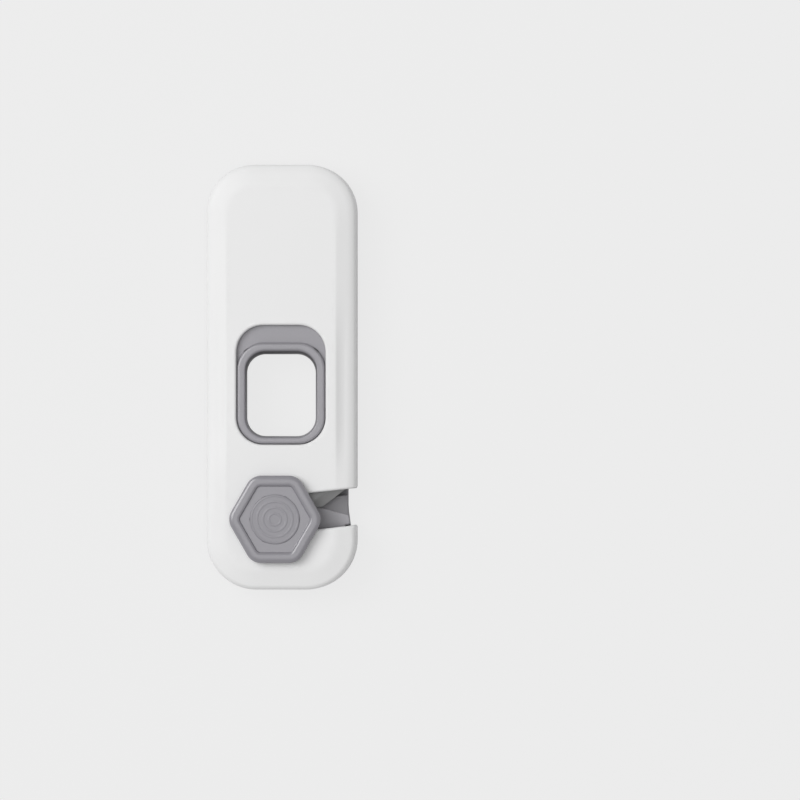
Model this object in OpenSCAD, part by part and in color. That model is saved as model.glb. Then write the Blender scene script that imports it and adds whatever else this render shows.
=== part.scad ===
// Swing-arm cabinet safety lock, lying on its two adhesive bases.
// X is across the arm, Y along it towards the pivot, Z away from the door.
// The origin is the middle of the arm's outline, on the door's surface.

/* [Casing] */
// Width of the arm's casing
arm_w = 44.8; // [44:0.1:60]
// Length of the arm's casing
arm_l = 127.4; // [125:0.1:160]
// Height of the casing from its back to its crown
arm_h = 12.9; // [12.6:0.1:18]
// Corner radius of the casing at the pivot end
pivot_end_r = 14.4; // [10:0.1:20]
// Corner radius of the casing at the catch end
catch_end_r = 15; // [10:0.1:20]
// Thickness of the casing's side wall
wall = 2; // [1.6:0.1:2.4]
// Thickness of the casing's crown
skin = 2; // [1.6:0.1:2.2]
// Radius that rounds the side wall into the sloping facet
edge_r = 3; // [2.6:0.1:4]
// Slope of the facet beside the crown, in degrees
facet_slope = 17; // [8:1:24]
// Distance of the crown's crease from the casing's side
crease = 5.6; // [5:0.1:8]

/* [Finger window] */
// Width of the casing on each side of the window
window_side = 9; // [9:0.1:12]
// Length of the window as a share of the arm's length
window_l_share = 0.2814; // [0.27:0.0001:0.3]
// Corner radius of the window
window_r = 7.4; // [5:0.1:9]
// Distance from the pivot end to the window as a share of the arm's length
window_inset_share = 0.3772; // [0.36:0.0001:0.4]

/* [Ring slider] */
// Travel of the ring from locked to open
travel = 5.2; // [4:0.1:6]
// Gap between the ring and the window
ring_gap = 0.25; // [0.2:0.05:0.4]
// Width of the ring's side walls
ring_side = 2.85; // [2.4:0.05:4]
// Width of the ring's wall on the pivot side, where the finger pushes
ring_push = 3.3; // [2.4:0.1:5]
// Width of the ring's wall on the catch side
ring_rest = 2.3; // [2:0.1:4]
// Corner radius of the finger hole in the ring
finger_r = 5; // [3:0.1:6]
// Height of the ring above its plate
ring_rise = 1.7; // [1.2:0.1:2]
// Width of the bevel round the finger hole
finger_bevel = 0.85; // [0.4:0.05:1.2]
// Extra width of that bevel where the finger pushes
push_bevel = 0.8; // [0.2:0.1:1.2]
// Thickness of the slider's plate
plate_t = 2; // [1.6:0.1:2.2]
// How far the plate reaches past the ring on each side
plate_edge = 1.05; // [0.8:0.05:1.5]
// How far the plate stops short of the bolt stem's end
plate_short = 1.6; // [1:0.1:3]
// How far the plate reaches past the window at the pivot end
plate_head = 7.1; // [6:0.1:8]

/* [Bolt] */
// Thickness of the bolt
bolt_t = 3.5; // [2.5:0.1:4]
// Reach of the bolt's hook past the post's middle
hook_reach = 1.5; // [1:0.1:2.4]
// Width of the hook's tip
hook_w = 2.4; // [1.6:0.1:3]
// Width of the sloping edge on the bolt's nose
nose_bevel_w = 3.1; // [2:0.1:4]
// Depth of the sloping edge on the bolt's nose
nose_bevel_h = 2.4; // [1:0.1:3]
// Radius of the two screws that hold the bolt
bolt_screw_r = 1; // [0.8:0.1:1.2]

/* [Springs] */
// Outer diameter of each return spring
spring_d = 4.8; // [4:0.1:5]
// Thickness of the spring wire
wire_d = 0.7; // [0.5:0.05:0.8]
// Number of curls in each spring
spring_curls = 6; // [4:1:7]
// Radius of the rods that guide the springs
rod_r = 1; // [0.8:0.1:1.1]

/* [Notch] */
// Width of the notch that lets the post in
notch_w = 11.1; // [9:0.1:12]
// Slope of the notch across the arm, in degrees
notch_slope = 6.2; // [4:0.1:8]
// Distance of the notch's middle from the post towards the pivot
notch_rise = 3.8; // [3:0.1:5]

/* [Catch] */
// Radius of the catch's post
post_r = 3.2; // [2.8:0.1:3.4]
// Sideways place of the post from the arm's middle
post_x = -1.6; // [-3:0.1:0]
// Distance from the catch end to the post's middle as a share of the arm's length
post_inset_share = 0.1656; // [0.16:0.0001:0.18]
// Free play of the post in its seat
post_play = 1.2; // [0.6:0.1:1.4]
// Length of the catch's base
catch_l = 34.4; // [30:0.1:36]
// How far the catch's base stays inside the arm's outline at the notch
catch_inset = 2.6; // [2.4:0.1:4]
// How far the catch's base flares out below the notch
catch_flare = 1.3; // [0.5:0.1:1.6]
// Depth of the recess in the catch's step
catch_recess = 1; // [0.5:0.1:1.4]
// Gap between the catch's step and the jaw on the far side of the notch
step_gap = 0.5; // [0.4:0.1:0.6]
// Gap between the catch's step and the near side of the notch
step_near_gap = 1.8; // [1.7:0.1:3]

/* [Hexagonal head] */
// Size of the head across its flats at the two ends
head_l = 26.2; // [24:0.1:28]
// Size of the head across its slanted flats
head_w = 25; // [22:0.1:27]
// Corner radius of the head
head_r = 4.8; // [3.6:0.1:6]
// Height of the head
head_h = 3.4; // [3.3:0.1:4.4]
// Width of the raised rim round the head
rim_w = 2.9; // [2.4:0.1:4]
// Depth of the floor inside the rim
rim_h = 0.8; // [0.6:0.1:0.9]
// Width of the bevel outside the rim
rim_bevel = 1; // [0.5:0.1:1.5]
// Radius of the disc set into the head
disc_r = 7.5; // [6:0.1:8]
// Number of raised rings on the disc
disc_rings = 3; // [1:1:3]

/* [Pivot] */
// Distance from the pivot end to the pivot as a share of the arm's length
pivot_inset_share = 0.1468; // [0.14:0.0001:0.16]
// Radius of the pivot's base as a share of the arm's width
pivot_r_share = 0.3795; // [0.34:0.001:0.4]
// Radius of the pivot's hub as a share of the arm's width
hub_r_share = 0.1786; // [0.13:0.0001:0.18]
// Wall of the bush round the hub
bush_wall = 1.9; // [1:0.1:2.2]
// Height of the bush under its flange as a share of the casing's height
bush_h_share = 0.4186; // [0.38:0.0001:0.43]

/* [Adhesive bases] */
// Thickness of the foam pads
pad_t = 1; // [0.5:0.1:1.5]
// How far each pad stays inside its base
pad_inset = 1; // [0.5:0.1:2]
// Thickness of the two bases
base_t = 2.2; // [1.8:0.1:3]
// Gap between the bases and the arm's back
back_gap = 0.4; // [0.3:0.1:1]

/* [Hidden] */
$fn = 64;

white = "#F2F2F0";
grey = "#97979C";
dark_grey = "#7F8084";
steel = "#B9BCC0";
foam = "#D9DADB";

// Sizes that follow the arm's length and width, to the nearest hundredth
function to_hundredth(v) = round(100 * v) / 100;
window_w = arm_w - 2 * window_side;
window_l = to_hundredth(arm_l * window_l_share);
window_inset = to_hundredth(arm_l * window_inset_share);
post_inset = to_hundredth(arm_l * post_inset_share);
pivot_inset = to_hundredth(arm_l * pivot_inset_share);
pivot_r = to_hundredth(arm_w * pivot_r_share);
hub_r = to_hundredth(arm_w * hub_r_share);
bush_h = to_hundredth(arm_h * bush_h_share);

// Clearances that several pieces share
running_gap = 0.05;
slide_gap = 0.3;
seat_gap = 0.4;
thin_gap = 0.1;
overrun = 1;
edge_steps = 8;
arc_steps = 8;

// Heights from the door outwards
base_z = pad_t;
back_z = base_z + base_t + back_gap;
crown_z = back_z + arm_h;
ceiling_z = crown_z - skin;
floor_t = 2.2;
floor_z = back_z + floor_t;
plate_z = ceiling_z - slide_gap - plate_t;
bolt_z = plate_z - bolt_t;
ring_z = plate_z + plate_t;

// Inside of the casing
shell_fit = 0.15;
inner_edge_r = max(edge_r - wall, running_gap);
inner_crease = crease + wall * tan(facet_slope / 2);

// Places along the arm
pivot_y = arm_l / 2 - pivot_inset;
post_y = post_inset - arm_l / 2;
notch_y = post_y + notch_rise;
window_y1 = arm_l / 2 - window_inset;
window_y0 = window_y1 - window_l;
post = [post_x, post_y, 0];
pivot = [0, pivot_y, 0];

// Ring, finger hole and plate
ring_w = window_w - 2 * ring_gap;
ring_l = window_l - travel - 2 * ring_gap;
ring_y = window_y0 + ring_gap + ring_l / 2;
ring_r = window_r - ring_gap;
finger_w = ring_w - 2 * ring_side;
finger_l = ring_l - ring_push - ring_rest;
finger_y = ring_y + (ring_rest - ring_push) / 2;
scoop_z = plate_z + plate_t / 4;
plate_w = ring_w + 2 * plate_edge;
plate_y1 = window_y1 + plate_head;
plate_r = 2;

// Well in the chassis that the finger goes into
well_gap = 0.8;
well_wall = 1.2;
well_w = finger_w + 2 * well_gap;
well_l = finger_l + travel + 2 * well_gap;
well_y = finger_y + travel / 2;
well_r = finger_r + well_gap / 2;

// Rails that carry the plate
lip_w = 1.2;
lip_h = 1.7;
rail_x1 = plate_w / 2 + slide_gap + lip_w;
rail_x0 = well_w / 2 + well_wall / 2;
rail_y0 = window_y0 + 2 * seat_gap;

// Screws that hold the casing together, as places in one half of it
screw_r = 1;
screw_hole_gap = 0.05;
screw_head_r = 2.1;
screw_head_h = 1.1;
screw_sink = 1.2;
screw_l = 7.5;
boss_r = 2.6;
screw_inset = 5;
catch_screw_inset = 9.5;
side_screw_x = arm_w / 2 - screw_inset;
pivot_screw_place = [side_screw_x, pivot_y - pivot_r + screw_inset];
side_screw_place = [side_screw_x, window_y0 - boss_r];
catch_screw_place = [arm_w / 2 - catch_screw_inset, catch_screw_inset - arm_l / 2];
screw_places = [pivot_screw_place, side_screw_place, catch_screw_place];

// Springs, their rods and the blocks and lugs at their ends
spring_gap = 0.2;
spring_x = side_screw_x - boss_r - spring_gap - spring_d / 2;
block_w = 4;
block_l = 3;
block_h = 4.2;
spring_z = plate_z - block_h / 2 + thin_gap;
lug_w = 5;
lug_l = 2;
lug_drop = 10.2;
lug_y = pivot_y - lug_drop;
spring_l = lug_y - plate_y1;
rod_tail = 1;
rod_hole = 0.3;
rod_y0 = plate_y1 - block_l - rod_tail;
rail_y1 = rod_y0 - seat_gap;
wire_sides = 6;
curl_rings = 8;
coil_r = (spring_d - wire_d) / 2;
coil_rise = (spring_l - 2 * thin_gap - 2 * wire_d) / spring_curls;
echo(gap_between_spring_curls = coil_rise - wire_d);

// Bolt outline: the hook, the knee of its sloping edge, and the stem
hook_x0 = post_x + post_r + post_play + seat_gap;
hook_x1 = hook_x0 + hook_w;
hook_y = post_y - hook_reach;
knee_inset = 10.3;
knee_x = arm_w / 2 - knee_inset;
knee_rise = 3.7;
knee_y = post_y + knee_rise;
nose_inset = 3;
nose_x = arm_w / 2 - nose_inset;
nose_rise = 5.6;
nose_tip = 1.6;
nose_y = knee_y + nose_rise;
nose_top = nose_y + nose_tip;
cam_flat = 1.7;
cam_x = knee_x - cam_flat;
bevel_tail = 2.8;
stem_x0 = -8;
stem_x1 = knee_x - thin_gap;
stem_rise = 8.1;
stem_y0 = post_y + stem_rise;
stem_y1 = well_y - well_l / 2 - well_wall - slide_gap - travel;
plate_y0 = stem_y0 + plate_short;
bolt_screw_inset = 4;
bolt_screws_x = [stem_x0 + bolt_screw_inset, stem_x1 - bolt_screw_inset];
bolt_screw_y = (stem_y1 + plate_y0) / 2;
bolt_screw_head_r = 2;
bolt_screw_head_h = 1.2;
guide_w = 1.6;
guide_l = 13;
bed_w = 1.2;

// Seat of the post and the throat that leads to it
seat_r = post_r + seat_gap;
throat_reach = 9.9;
throat_x = post_x + throat_reach;
jaw_wall = 1.2;
jaw_back = 0.7;
jaw_h = 6.2;

// Stiffening ribs under the crown at the pivot end
rib_x = 6;
rib_w = 1.2;
rib_h = 1;
rib_l = arm_l / 2 - wall - plate_y1 - travel;

// Tongue of the chassis in a slot of the casing's end
tongue_w = 14;
tongue_t = 1.2;
tongue_l = 1;
tongue_gap = 0.1;

// Pivot stack
bush_r = hub_r + running_gap + bush_wall;
press_gap = 0.03;
bush_seat_r = bush_r + press_gap;
flange_w = 1.7;
flange_t = 0.6;
flange_z = back_z + bush_h;
cone_rise = 0.4;
hub_top = flange_z + flange_t + cone_rise;
pivot_boss_wall = 2.2;
washer_t = 1;
washer_w = 3;
cone_in = 0.3;
cone_w = 2.4;
cone_t = 0.2;
pivot_screw_r = 1.5;
pivot_screw_head_r = 3.3;
pivot_screw_head_h = 1.9;
pivot_screw_l = 8;
slot_w = 0.8;
slot_depth = 0.7;

// Catch stack
sleeve_wall = 1;
spigot_r = post_r - sleeve_wall - running_gap;
post_rise = 0.2;
post_top = crown_z + post_rise;
head_washer_t = 0.2;
head_washer_w = 1.8;
head_z = post_top + head_washer_t;
web_t = 1.1;
shoulder_r = 2;
head_screw_r = 1.2;
head_screw_l = 10;
head_screw_head_r = 3.4;
head_screw_head_h = 1;
head_pocket_gap = 0.8;
head_pocket_r = head_screw_head_r + head_pocket_gap;
disc_fit = 0.05;
disc_rise = 0.3;
disc_edge = 0.4;
disc_ring_w = 0.5;
disc_ring_h = 0.08;
head_floor_z = head_z + head_h - rim_h;
rim_slant = rim_h / 4;
corner_steps = 7;
disc_z = head_z + web_t + head_screw_head_h + thin_gap;
disc_top = head_floor_z + disc_rise;
catch_w = arm_w - 2 * catch_inset - post_play / 2;
catch_y = -arm_l / 2 + catch_inset + catch_l / 2;
catch_r = catch_end_r - catch_inset;
catch_near_r = 4;
base_bevel = 0.5;
flare_y = catch_y - catch_l / 2 + catch_r + catch_flare;
flare_l = 6.5;
flare_steps = 8;
recess_back = 4.1;
recess_rise = 0.8;
recess_x = knee_x - recess_back;
recess_y = knee_y + recess_rise;
recess_slope = 15;
step_z = bolt_z - seat_gap;
step_x = throat_x + thin_gap;
step_edge = 0.1;
step_corner = 0.4;

// Profile of a moulded edge as [inset, height] pairs: a straight side, an arc and a facet
function edge_profile(z0, z1, r, slope, end) =
    let (arc_in = r * (1 - sin(slope)),
         arc_z = z1 - (end - arc_in) * tan(slope) - r * cos(slope))
    concat([[0, z0]],
        [for (i = [0 : edge_steps])
            let (a = i / edge_steps * (90 - slope)) [r * (1 - cos(a)), arc_z + r * sin(a)]],
        [[end, z1]]);

// Corner points of a rounded rectangle in order, with radius r1 at its top and r0 at its bottom
function rounded_points(w, l, r1, r0) =
    [for (q = [0 : 3], i = [0 : arc_steps])
        let (a = 90 * (q + i / arc_steps),
             r = (q < 2) ? r1 : r0,
             x = (q == 0 || q == 3) ? w / 2 - r : r - w / 2,
             y = (q < 2) ? l / 2 - r : r - l / 2)
        [x + r * cos(a), y + r * sin(a)]];

// A rounded rectangle whose edge has the given profile all the way round
module moulded(w, l, r1, r0, profile) {
    z0 = profile[0][1];
    z1 = profile[len(profile) - 1][1];
    y1 = l / 2 - r1;
    y0 = r0 - l / 2;
    right = [for (p = profile) [w / 2 - p[0], p[1]]];
    left = [for (i = [len(profile) - 1 : -1 : 0]) [profile[i][0] - w / 2, profile[i][1]]];
    translate([0, y1, 0])
        rotate([90, 0, 0])
            linear_extrude(y1 - y0)
                polygon(concat(right, left));
    for (end = [[r1, y1, 1], [r0, y0, -1]]) {
        side = w / 2 - end[0];
        across = [for (p = profile) [end[1] + end[2] * (end[0] - p[0]), p[1]]];
        translate([-side, 0, 0])
            rotate([90, 0, 90])
                linear_extrude(2 * side)
                    polygon(concat([[end[1], z0]], across, [[end[1], z1]]));
        round = [for (p = profile) [end[0] - p[0], p[1]]];
        for (quarter = [0, 1])
            translate([(1 - 2 * quarter) * side, end[1], 0])
                rotate([0, 0, (end[2] > 0) ? 90 * quarter : 270 - 90 * quarter])
                    rotate_extrude(angle = 90)
                        polygon(concat([[0, z0]], round, [[0, z1]]));
    }
}

// A flat plate of rounded-rectangle outline between two heights
module end_plate(w, l, r1, r0, z0, z1) {
    translate([0, 0, z0])
        linear_extrude(z1 - z0)
            polygon(rounded_points(w, l, r1, r0));
}

module plate(w, l, r, z0, z1) {
    end_plate(w, l, r, r, z0, z1);
}

// A round bar or hole along Z
module bar(r, z0, z1) {
    translate([0, 0, z0])
        cylinder(r = r, h = z1 - z0);
}

// Each screw's place, on both sides of the arm
module at_screws() {
    for (place = screw_places, side = [-1, 1])
        translate([side * place[0], place[1], 0])
            children();
}

// Opening of the notch in plan: a round seat, a throat and the slanted mouth, whose far side
// can be set back
module notch_2d(back = 0) {
    drop = (arm_w / 2 - throat_x) * tan(notch_slope);
    rise = arm_w / 2 * tan(notch_slope);
    translate([post_x, post_y])
        circle(r = seat_r);
    polygon([
        [post_x, post_y + seat_r],
        [throat_x, notch_y + notch_w / 2 - drop],
        [arm_w, notch_y + notch_w / 2 + rise],
        [arm_w, notch_y - notch_w / 2 + rise - back],
        [throat_x, notch_y - notch_w / 2 - drop - back],
        [post_x, post_y - seat_r]
    ]);
}

module notch(z0, z1, back = 0) {
    translate([0, 0, z0])
        linear_extrude(z1 - z0)
            notch_2d(back);
}

// Pivot base
module pivot_pad() {
    color(foam)
        translate(pivot)
            bar(pivot_r - pad_inset, 0, pad_t);
}

module pivot_base() {
    color(grey)
        translate(pivot)
            difference() {
                rotate_extrude()
                    polygon([
                        [0, base_z], [pivot_r, base_z],
                        [pivot_r, base_z + base_t - base_bevel],
                        [pivot_r - base_bevel, base_z + base_t],
                        [hub_r, base_z + base_t], [hub_r, hub_top], [0, hub_top]
                    ]);
                bar(pivot_screw_r + screw_hole_gap, hub_top - pivot_screw_l, hub_top + overrun);
            }
}

// Cone-shaped washer that presses the arm onto its base
module spring_washer() {
    low = flange_z + flange_t;
    color(steel)
        translate(pivot)
            rotate_extrude()
                polygon([
                    [hub_r + cone_in, low], [hub_r + cone_in + cone_w, hub_top - cone_t],
                    [hub_r + cone_in + cone_w, hub_top], [hub_r + cone_in, low + cone_t]
                ]);
}

module pivot_washer() {
    color(steel)
        translate(pivot)
            difference() {
                bar(hub_r + washer_w, hub_top, hub_top + washer_t);
                bar(pivot_screw_r + screw_hole_gap, hub_top - overrun, hub_top + washer_t + overrun);
            }
}

module pivot_screw() {
    head = hub_top + washer_t;
    color(steel)
        translate(pivot)
            difference() {
                union() {
                    bar(pivot_screw_r, hub_top + thin_gap - pivot_screw_l, head);
                    bar(pivot_screw_head_r, head, head + pivot_screw_head_h);
                }
                for (turn = [0, 90])
                    rotate([0, 0, turn])
                        translate([-pivot_screw_head_r / 2, -slot_w / 2,
                                   head + pivot_screw_head_h - slot_depth])
                            cube([pivot_screw_head_r, slot_w, slot_depth + overrun]);
            }
}

// Arm
module casing_outline(inset, r, slope, end, z0, z1) {
    moulded(arm_w - 2 * inset, arm_l - 2 * inset, pivot_end_r - inset, catch_end_r - inset,
        edge_profile(z0, z1, r, slope, end));
}

module shell_hollow() {
    casing_outline(wall, inner_edge_r, facet_slope, inner_crease - wall,
        back_z - overrun, ceiling_z);
}

module front_shell() {
    color(white)
        difference() {
            union() {
                difference() {
                    casing_outline(0, edge_r, facet_slope, crease, back_z, crown_z);
                    shell_hollow();
                }
                at_screws()
                    bar(boss_r, floor_z, ceiling_z + thin_gap);
                for (x = [-rib_x, rib_x])
                    translate([x - rib_w / 2, plate_y1 + travel + seat_gap, ceiling_z - rib_h])
                        cube([rib_w, rib_l, rib_h + thin_gap]);
            }
            translate([0, (window_y0 + window_y1) / 2, 0])
                plate(window_w, window_l, window_r, ceiling_z - overrun, crown_z + overrun);
            notch(back_z - overrun, crown_z + overrun);
            at_screws()
                bar(screw_r + screw_hole_gap, floor_z - overrun, floor_z + screw_l);
            tongue(tongue_gap);
        }
}

// Tongue on the chassis that hooks into the casing's pivot end, or its slot
module tongue(gap) {
    w = tongue_w + 2 * gap;
    end_y = arm_l / 2 - wall;
    translate([-w / 2, end_y - overrun, floor_z - tongue_t - gap])
        cube([w, overrun + tongue_l + gap, tongue_t + 2 * gap]);
}

// Rail under one edge of the slider's plate, with a lip that keeps it straight
module rail() {
    top = plate_z - thin_gap;
    translate([0, rail_y1, 0])
        rotate([90, 0, 0])
            linear_extrude(rail_y1 - rail_y0)
                polygon([
                    [rail_x0, floor_z], [rail_x1, floor_z], [rail_x1, top + lip_h],
                    [rail_x1 - lip_w, top + lip_h], [rail_x1 - lip_w, top], [rail_x0, top]
                ]);
}

// Lug that holds one spring's rod
module lug() {
    translate([spring_x - lug_w / 2, lug_y, floor_z])
        cube([lug_w, lug_l, spring_z + lug_w / 2 - floor_z]);
}

// Wall along the far side of the notch and round the post's seat
module jaw() {
    intersection() {
        translate([0, 0, floor_z])
            linear_extrude(jaw_h)
                difference() {
                    union() {
                        translate([0, -jaw_wall])
                            notch_2d(jaw_back);
                        translate([post_x, post_y])
                            circle(r = seat_r + jaw_wall);
                    }
                    translate([post_x, post_y])
                        square([arm_w, notch_w]);
                }
        plate(arm_w - 2 * (wall + shell_fit), arm_l, plate_r, floor_z, floor_z + jaw_h);
    }
}

module rear_chassis() {
    tuck = wall + shell_fit;
    color(dark_grey)
        difference() {
            union() {
                end_plate(arm_w - 2 * tuck, arm_l - 2 * tuck, pivot_end_r - tuck,
                    catch_end_r - tuck, back_z, floor_z);
                translate([0, well_y, 0])
                    plate(well_w + 2 * well_wall, well_l + 2 * well_wall, well_r + well_wall,
                        back_z, plate_z - slide_gap);
                for (side = [0, 1])
                    mirror([side, 0, 0]) {
                        rail();
                        lug();
                    }
                translate(pivot)
                    bar(bush_seat_r + pivot_boss_wall, back_z, flange_z);
                jaw();
                tongue(0);
                translate([stem_x0 - slide_gap - guide_w, stem_y0 - slide_gap, floor_z])
                    cube([guide_w, guide_l, plate_z - slide_gap - floor_z]);
                for (x = [stem_x0 + guide_w, stem_x1 - 2 * guide_w])
                    translate([x, stem_y0 + slide_gap, floor_z])
                        cube([bed_w, guide_l, bolt_z - thin_gap - floor_z]);
            }
            translate([0, well_y, 0])
                plate(well_w, well_l, well_r, back_z - overrun, crown_z);
            notch(back_z - overrun, crown_z, jaw_back);
            translate(pivot)
                bar(bush_seat_r, back_z - overrun, flange_z + overrun);
            at_screws() {
                bar(screw_r + slide_gap, back_z - overrun, floor_z + overrun);
                bar(screw_head_r + slide_gap, back_z - overrun, back_z + screw_sink);
            }
            for (side = [-1, 1])
                translate([side * spring_x, lug_y - overrun, spring_z])
                    rotate([-90, 0, 0])
                        cylinder(r = rod_r, h = lug_l + 2 * overrun);
        }
}

module pivot_bush() {
    color(white)
        translate(pivot)
            difference() {
                union() {
                    bar(bush_r, base_z + base_t, flange_z);
                    bar(bush_r + flange_w, flange_z, flange_z + flange_t);
                }
                bar(hub_r + running_gap, base_z, flange_z + flange_t + overrun);
            }
}

module case_screws() {
    head = back_z + screw_sink;
    color(steel)
        at_screws()
            difference() {
                union() {
                    bar(screw_head_r, head - screw_head_h, head);
                    bar(screw_r, head, floor_z + screw_l - thin_gap);
                }
                for (turn = [0, 90])
                    rotate([0, 0, turn])
                        translate([-screw_head_r / 2, -slot_w / 2, head - screw_head_h - overrun])
                            cube([screw_head_r, slot_w, slot_depth + overrun]);
            }
}

// Springs and rods
module spring_rods() {
    color(steel)
        for (side = [-1, 1])
            translate([side * spring_x, rod_y0, spring_z])
                rotate([-90, 0, 0])
                    cylinder(r = rod_r, h = lug_y + lug_l - rod_y0);
}

// Middle line of a spring: a straight end, the curls and a straight end
function coil_point(i, n) =
    let (turn = 360 * spring_curls * i / n)
    [coil_r * cos(turn), wire_d + coil_rise * spring_curls * i / n, coil_r * sin(turn)];

function coil_line() =
    let (n = spring_curls * curl_rings, first = coil_point(0, n), last = coil_point(n, n))
    concat([[first[0], 0, first[2]]], [for (i = [0 : n]) coil_point(i, n)],
        [[last[0], last[1] + wire_d, last[2]]]);

// Square across the line at one of its points
function unit(v) = v / norm(v);
function heading(line, i) =
    (i == 0 || i == len(line) - 1) ? [0, 1, 0]
    : unit(unit(line[i + 1] - line[i]) + unit(line[i] - line[i - 1]));

module coil() {
    line = coil_line();
    rings = len(line);
    points = [for (i = [0 : rings - 1])
        let (along = heading(line, i),
             out = unit([line[i][0], 0, line[i][2]]),
             up = unit(cross(along, out)),
             flat = cross(up, along))
        for (k = [0 : wire_sides - 1])
            line[i] + wire_d / 2 * (cos(60 * k) * flat + sin(60 * k) * up)];
    sides = [for (i = [0 : rings - 2], k = [0 : wire_sides - 1])
        let (a = i * wire_sides + k, b = i * wire_sides + (k + 1) % wire_sides)
        for (half = [0, 1])
            half == 0 ? [a, b, b + wire_sides] : [a, b + wire_sides, a + wire_sides]];
    first = [for (k = [1 : wire_sides - 2]) [0, k + 1, k]];
    base = (rings - 1) * wire_sides;
    last = [for (k = [1 : wire_sides - 2]) [base, base + k, base + k + 1]];
    polyhedron(points, concat(sides, first, last), convexity = 10);
}

module spring_right() {
    color(steel)
        translate([spring_x, plate_y1 + thin_gap, spring_z])
            coil();
}

module spring_left() {
    color(steel)
        mirror([1, 0, 0])
            translate([spring_x, plate_y1 + thin_gap, spring_z])
                coil();
}

// Slider and bolt
module finger_hole() {
    bevel = [[0, plate_z - overrun], [0, scoop_z], [-finger_bevel, ring_z + ring_rise],
             [-finger_bevel, crown_z + overrun]];
    translate([0, finger_y, 0]) {
        moulded(finger_w, finger_l, finger_r, finger_r, bevel);
        translate([0, finger_l / 2 - finger_r, 0])
            rotate([90, 0, 90])
                translate([0, 0, finger_r - finger_w / 2])
                    linear_extrude(finger_w - 2 * finger_r)
                        polygon([
                            [0, scoop_z], [finger_r, scoop_z],
                            [finger_r + finger_bevel + push_bevel, ring_z + ring_rise],
                            [0, ring_z + ring_rise]
                        ]);
    }
}

module ring_slider() {
    color(grey)
        difference() {
            union() {
                translate([0, (plate_y0 + plate_y1) / 2, 0])
                    plate(plate_w, plate_y1 - plate_y0, plate_r, plate_z, ring_z);
                translate([0, ring_y, 0])
                    moulded(ring_w, ring_l, ring_r, ring_r,
                        [[0, ring_z - thin_gap], [0, ring_z + ring_rise - ring_gap],
                         [ring_gap, ring_z + ring_rise]]);
                for (side = [-1, 1])
                    translate([side * spring_x - block_w / 2, plate_y1 - block_l,
                               plate_z - block_h])
                        cube([block_w, block_l, block_h + thin_gap]);
            }
            finger_hole();
            for (side = [-1, 1])
                translate([side * spring_x, plate_y1 - block_l - overrun, spring_z])
                    rotate([-90, 0, 0])
                        cylinder(r = rod_r + rod_hole, h = block_l + 2 * overrun);
            for (x = bolt_screws_x)
                translate([x, bolt_screw_y, 0])
                    bar(bolt_screw_r + screw_hole_gap, plate_z - overrun, ring_z - thin_gap);
        }
}

module latch_bolt() {
    lean = atan2(nose_y - knee_y, nose_x - knee_x);
    color(dark_grey)
        difference() {
            translate([0, 0, bolt_z])
                linear_extrude(bolt_t)
                    polygon([
                        [hook_x0, hook_y], [hook_x1, hook_y], [cam_x, knee_y],
                        [knee_x, knee_y], [nose_x, nose_y], [nose_x, nose_top], [stem_x1, nose_top],
                        [stem_x1, stem_y1], [stem_x0, stem_y1], [stem_x0, stem_y0],
                        [hook_x0, stem_y0]
                    ]);
            translate([knee_x, knee_y, plate_z])
                rotate([0, 0, lean])
                    translate([-bevel_tail, 0, 0])
                        rotate([90, 0, 90])
                            linear_extrude(arm_w)
                                polygon([
                                    [0, -nose_bevel_h], [nose_bevel_w, 0],
                                    [nose_bevel_w, overrun], [-arm_w, overrun],
                                    [-arm_w, -nose_bevel_h]
                                ]);
            for (x = bolt_screws_x)
                translate([x, bolt_screw_y, 0]) {
                    bar(bolt_screw_r + screw_hole_gap, bolt_z - overrun, plate_z + overrun);
                    bar(bolt_screw_head_r + slide_gap, bolt_z - overrun,
                        bolt_z + bolt_screw_head_h + thin_gap);
                }
        }
}

module bolt_screws() {
    color(steel)
        for (x = bolt_screws_x)
            translate([x, bolt_screw_y, 0]) {
                bar(bolt_screw_head_r, bolt_z + thin_gap, bolt_z + bolt_screw_head_h + thin_gap);
                bar(bolt_screw_r, bolt_z + bolt_screw_head_h, ring_z - 2 * thin_gap);
            }
}

// Catch
// Right half of the catch's outline from its far end up: an arc, a flare that narrows, an arc
function catch_side(inset) =
    let (w0 = catch_w / 2 + catch_flare - inset,
         w1 = catch_w / 2 - inset,
         y0 = catch_y - catch_l / 2 + inset,
         y1 = catch_y + catch_l / 2 - inset,
         r0 = catch_r + catch_flare - inset,
         r1 = catch_near_r - inset)
    concat(
        [for (i = [0 : arc_steps])
            let (a = 90 * i / arc_steps)
            [w0 - r0 + r0 * sin(a), y0 + r0 - r0 * cos(a)]],
        [for (i = [1 : flare_steps])
            let (t = i / flare_steps)
            [w0 - (w0 - w1) * t * t * (3 - 2 * t), flare_y + flare_l * t]],
        [for (i = [0 : arc_steps])
            let (a = 90 * i / arc_steps)
            [w1 - r1 + r1 * cos(a), y1 - r1 + r1 * sin(a)]]);

module catch_plate(inset, z0, z1) {
    side = catch_side(inset);
    translate([0, 0, z0])
        linear_extrude(z1 - z0)
            polygon(concat(side, [for (i = [len(side) - 1 : -1 : 0]) [-side[i][0], side[i][1]]]));
}

module catch_pad() {
    color(foam)
        catch_plate(pad_inset, 0, pad_t);
}

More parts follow.
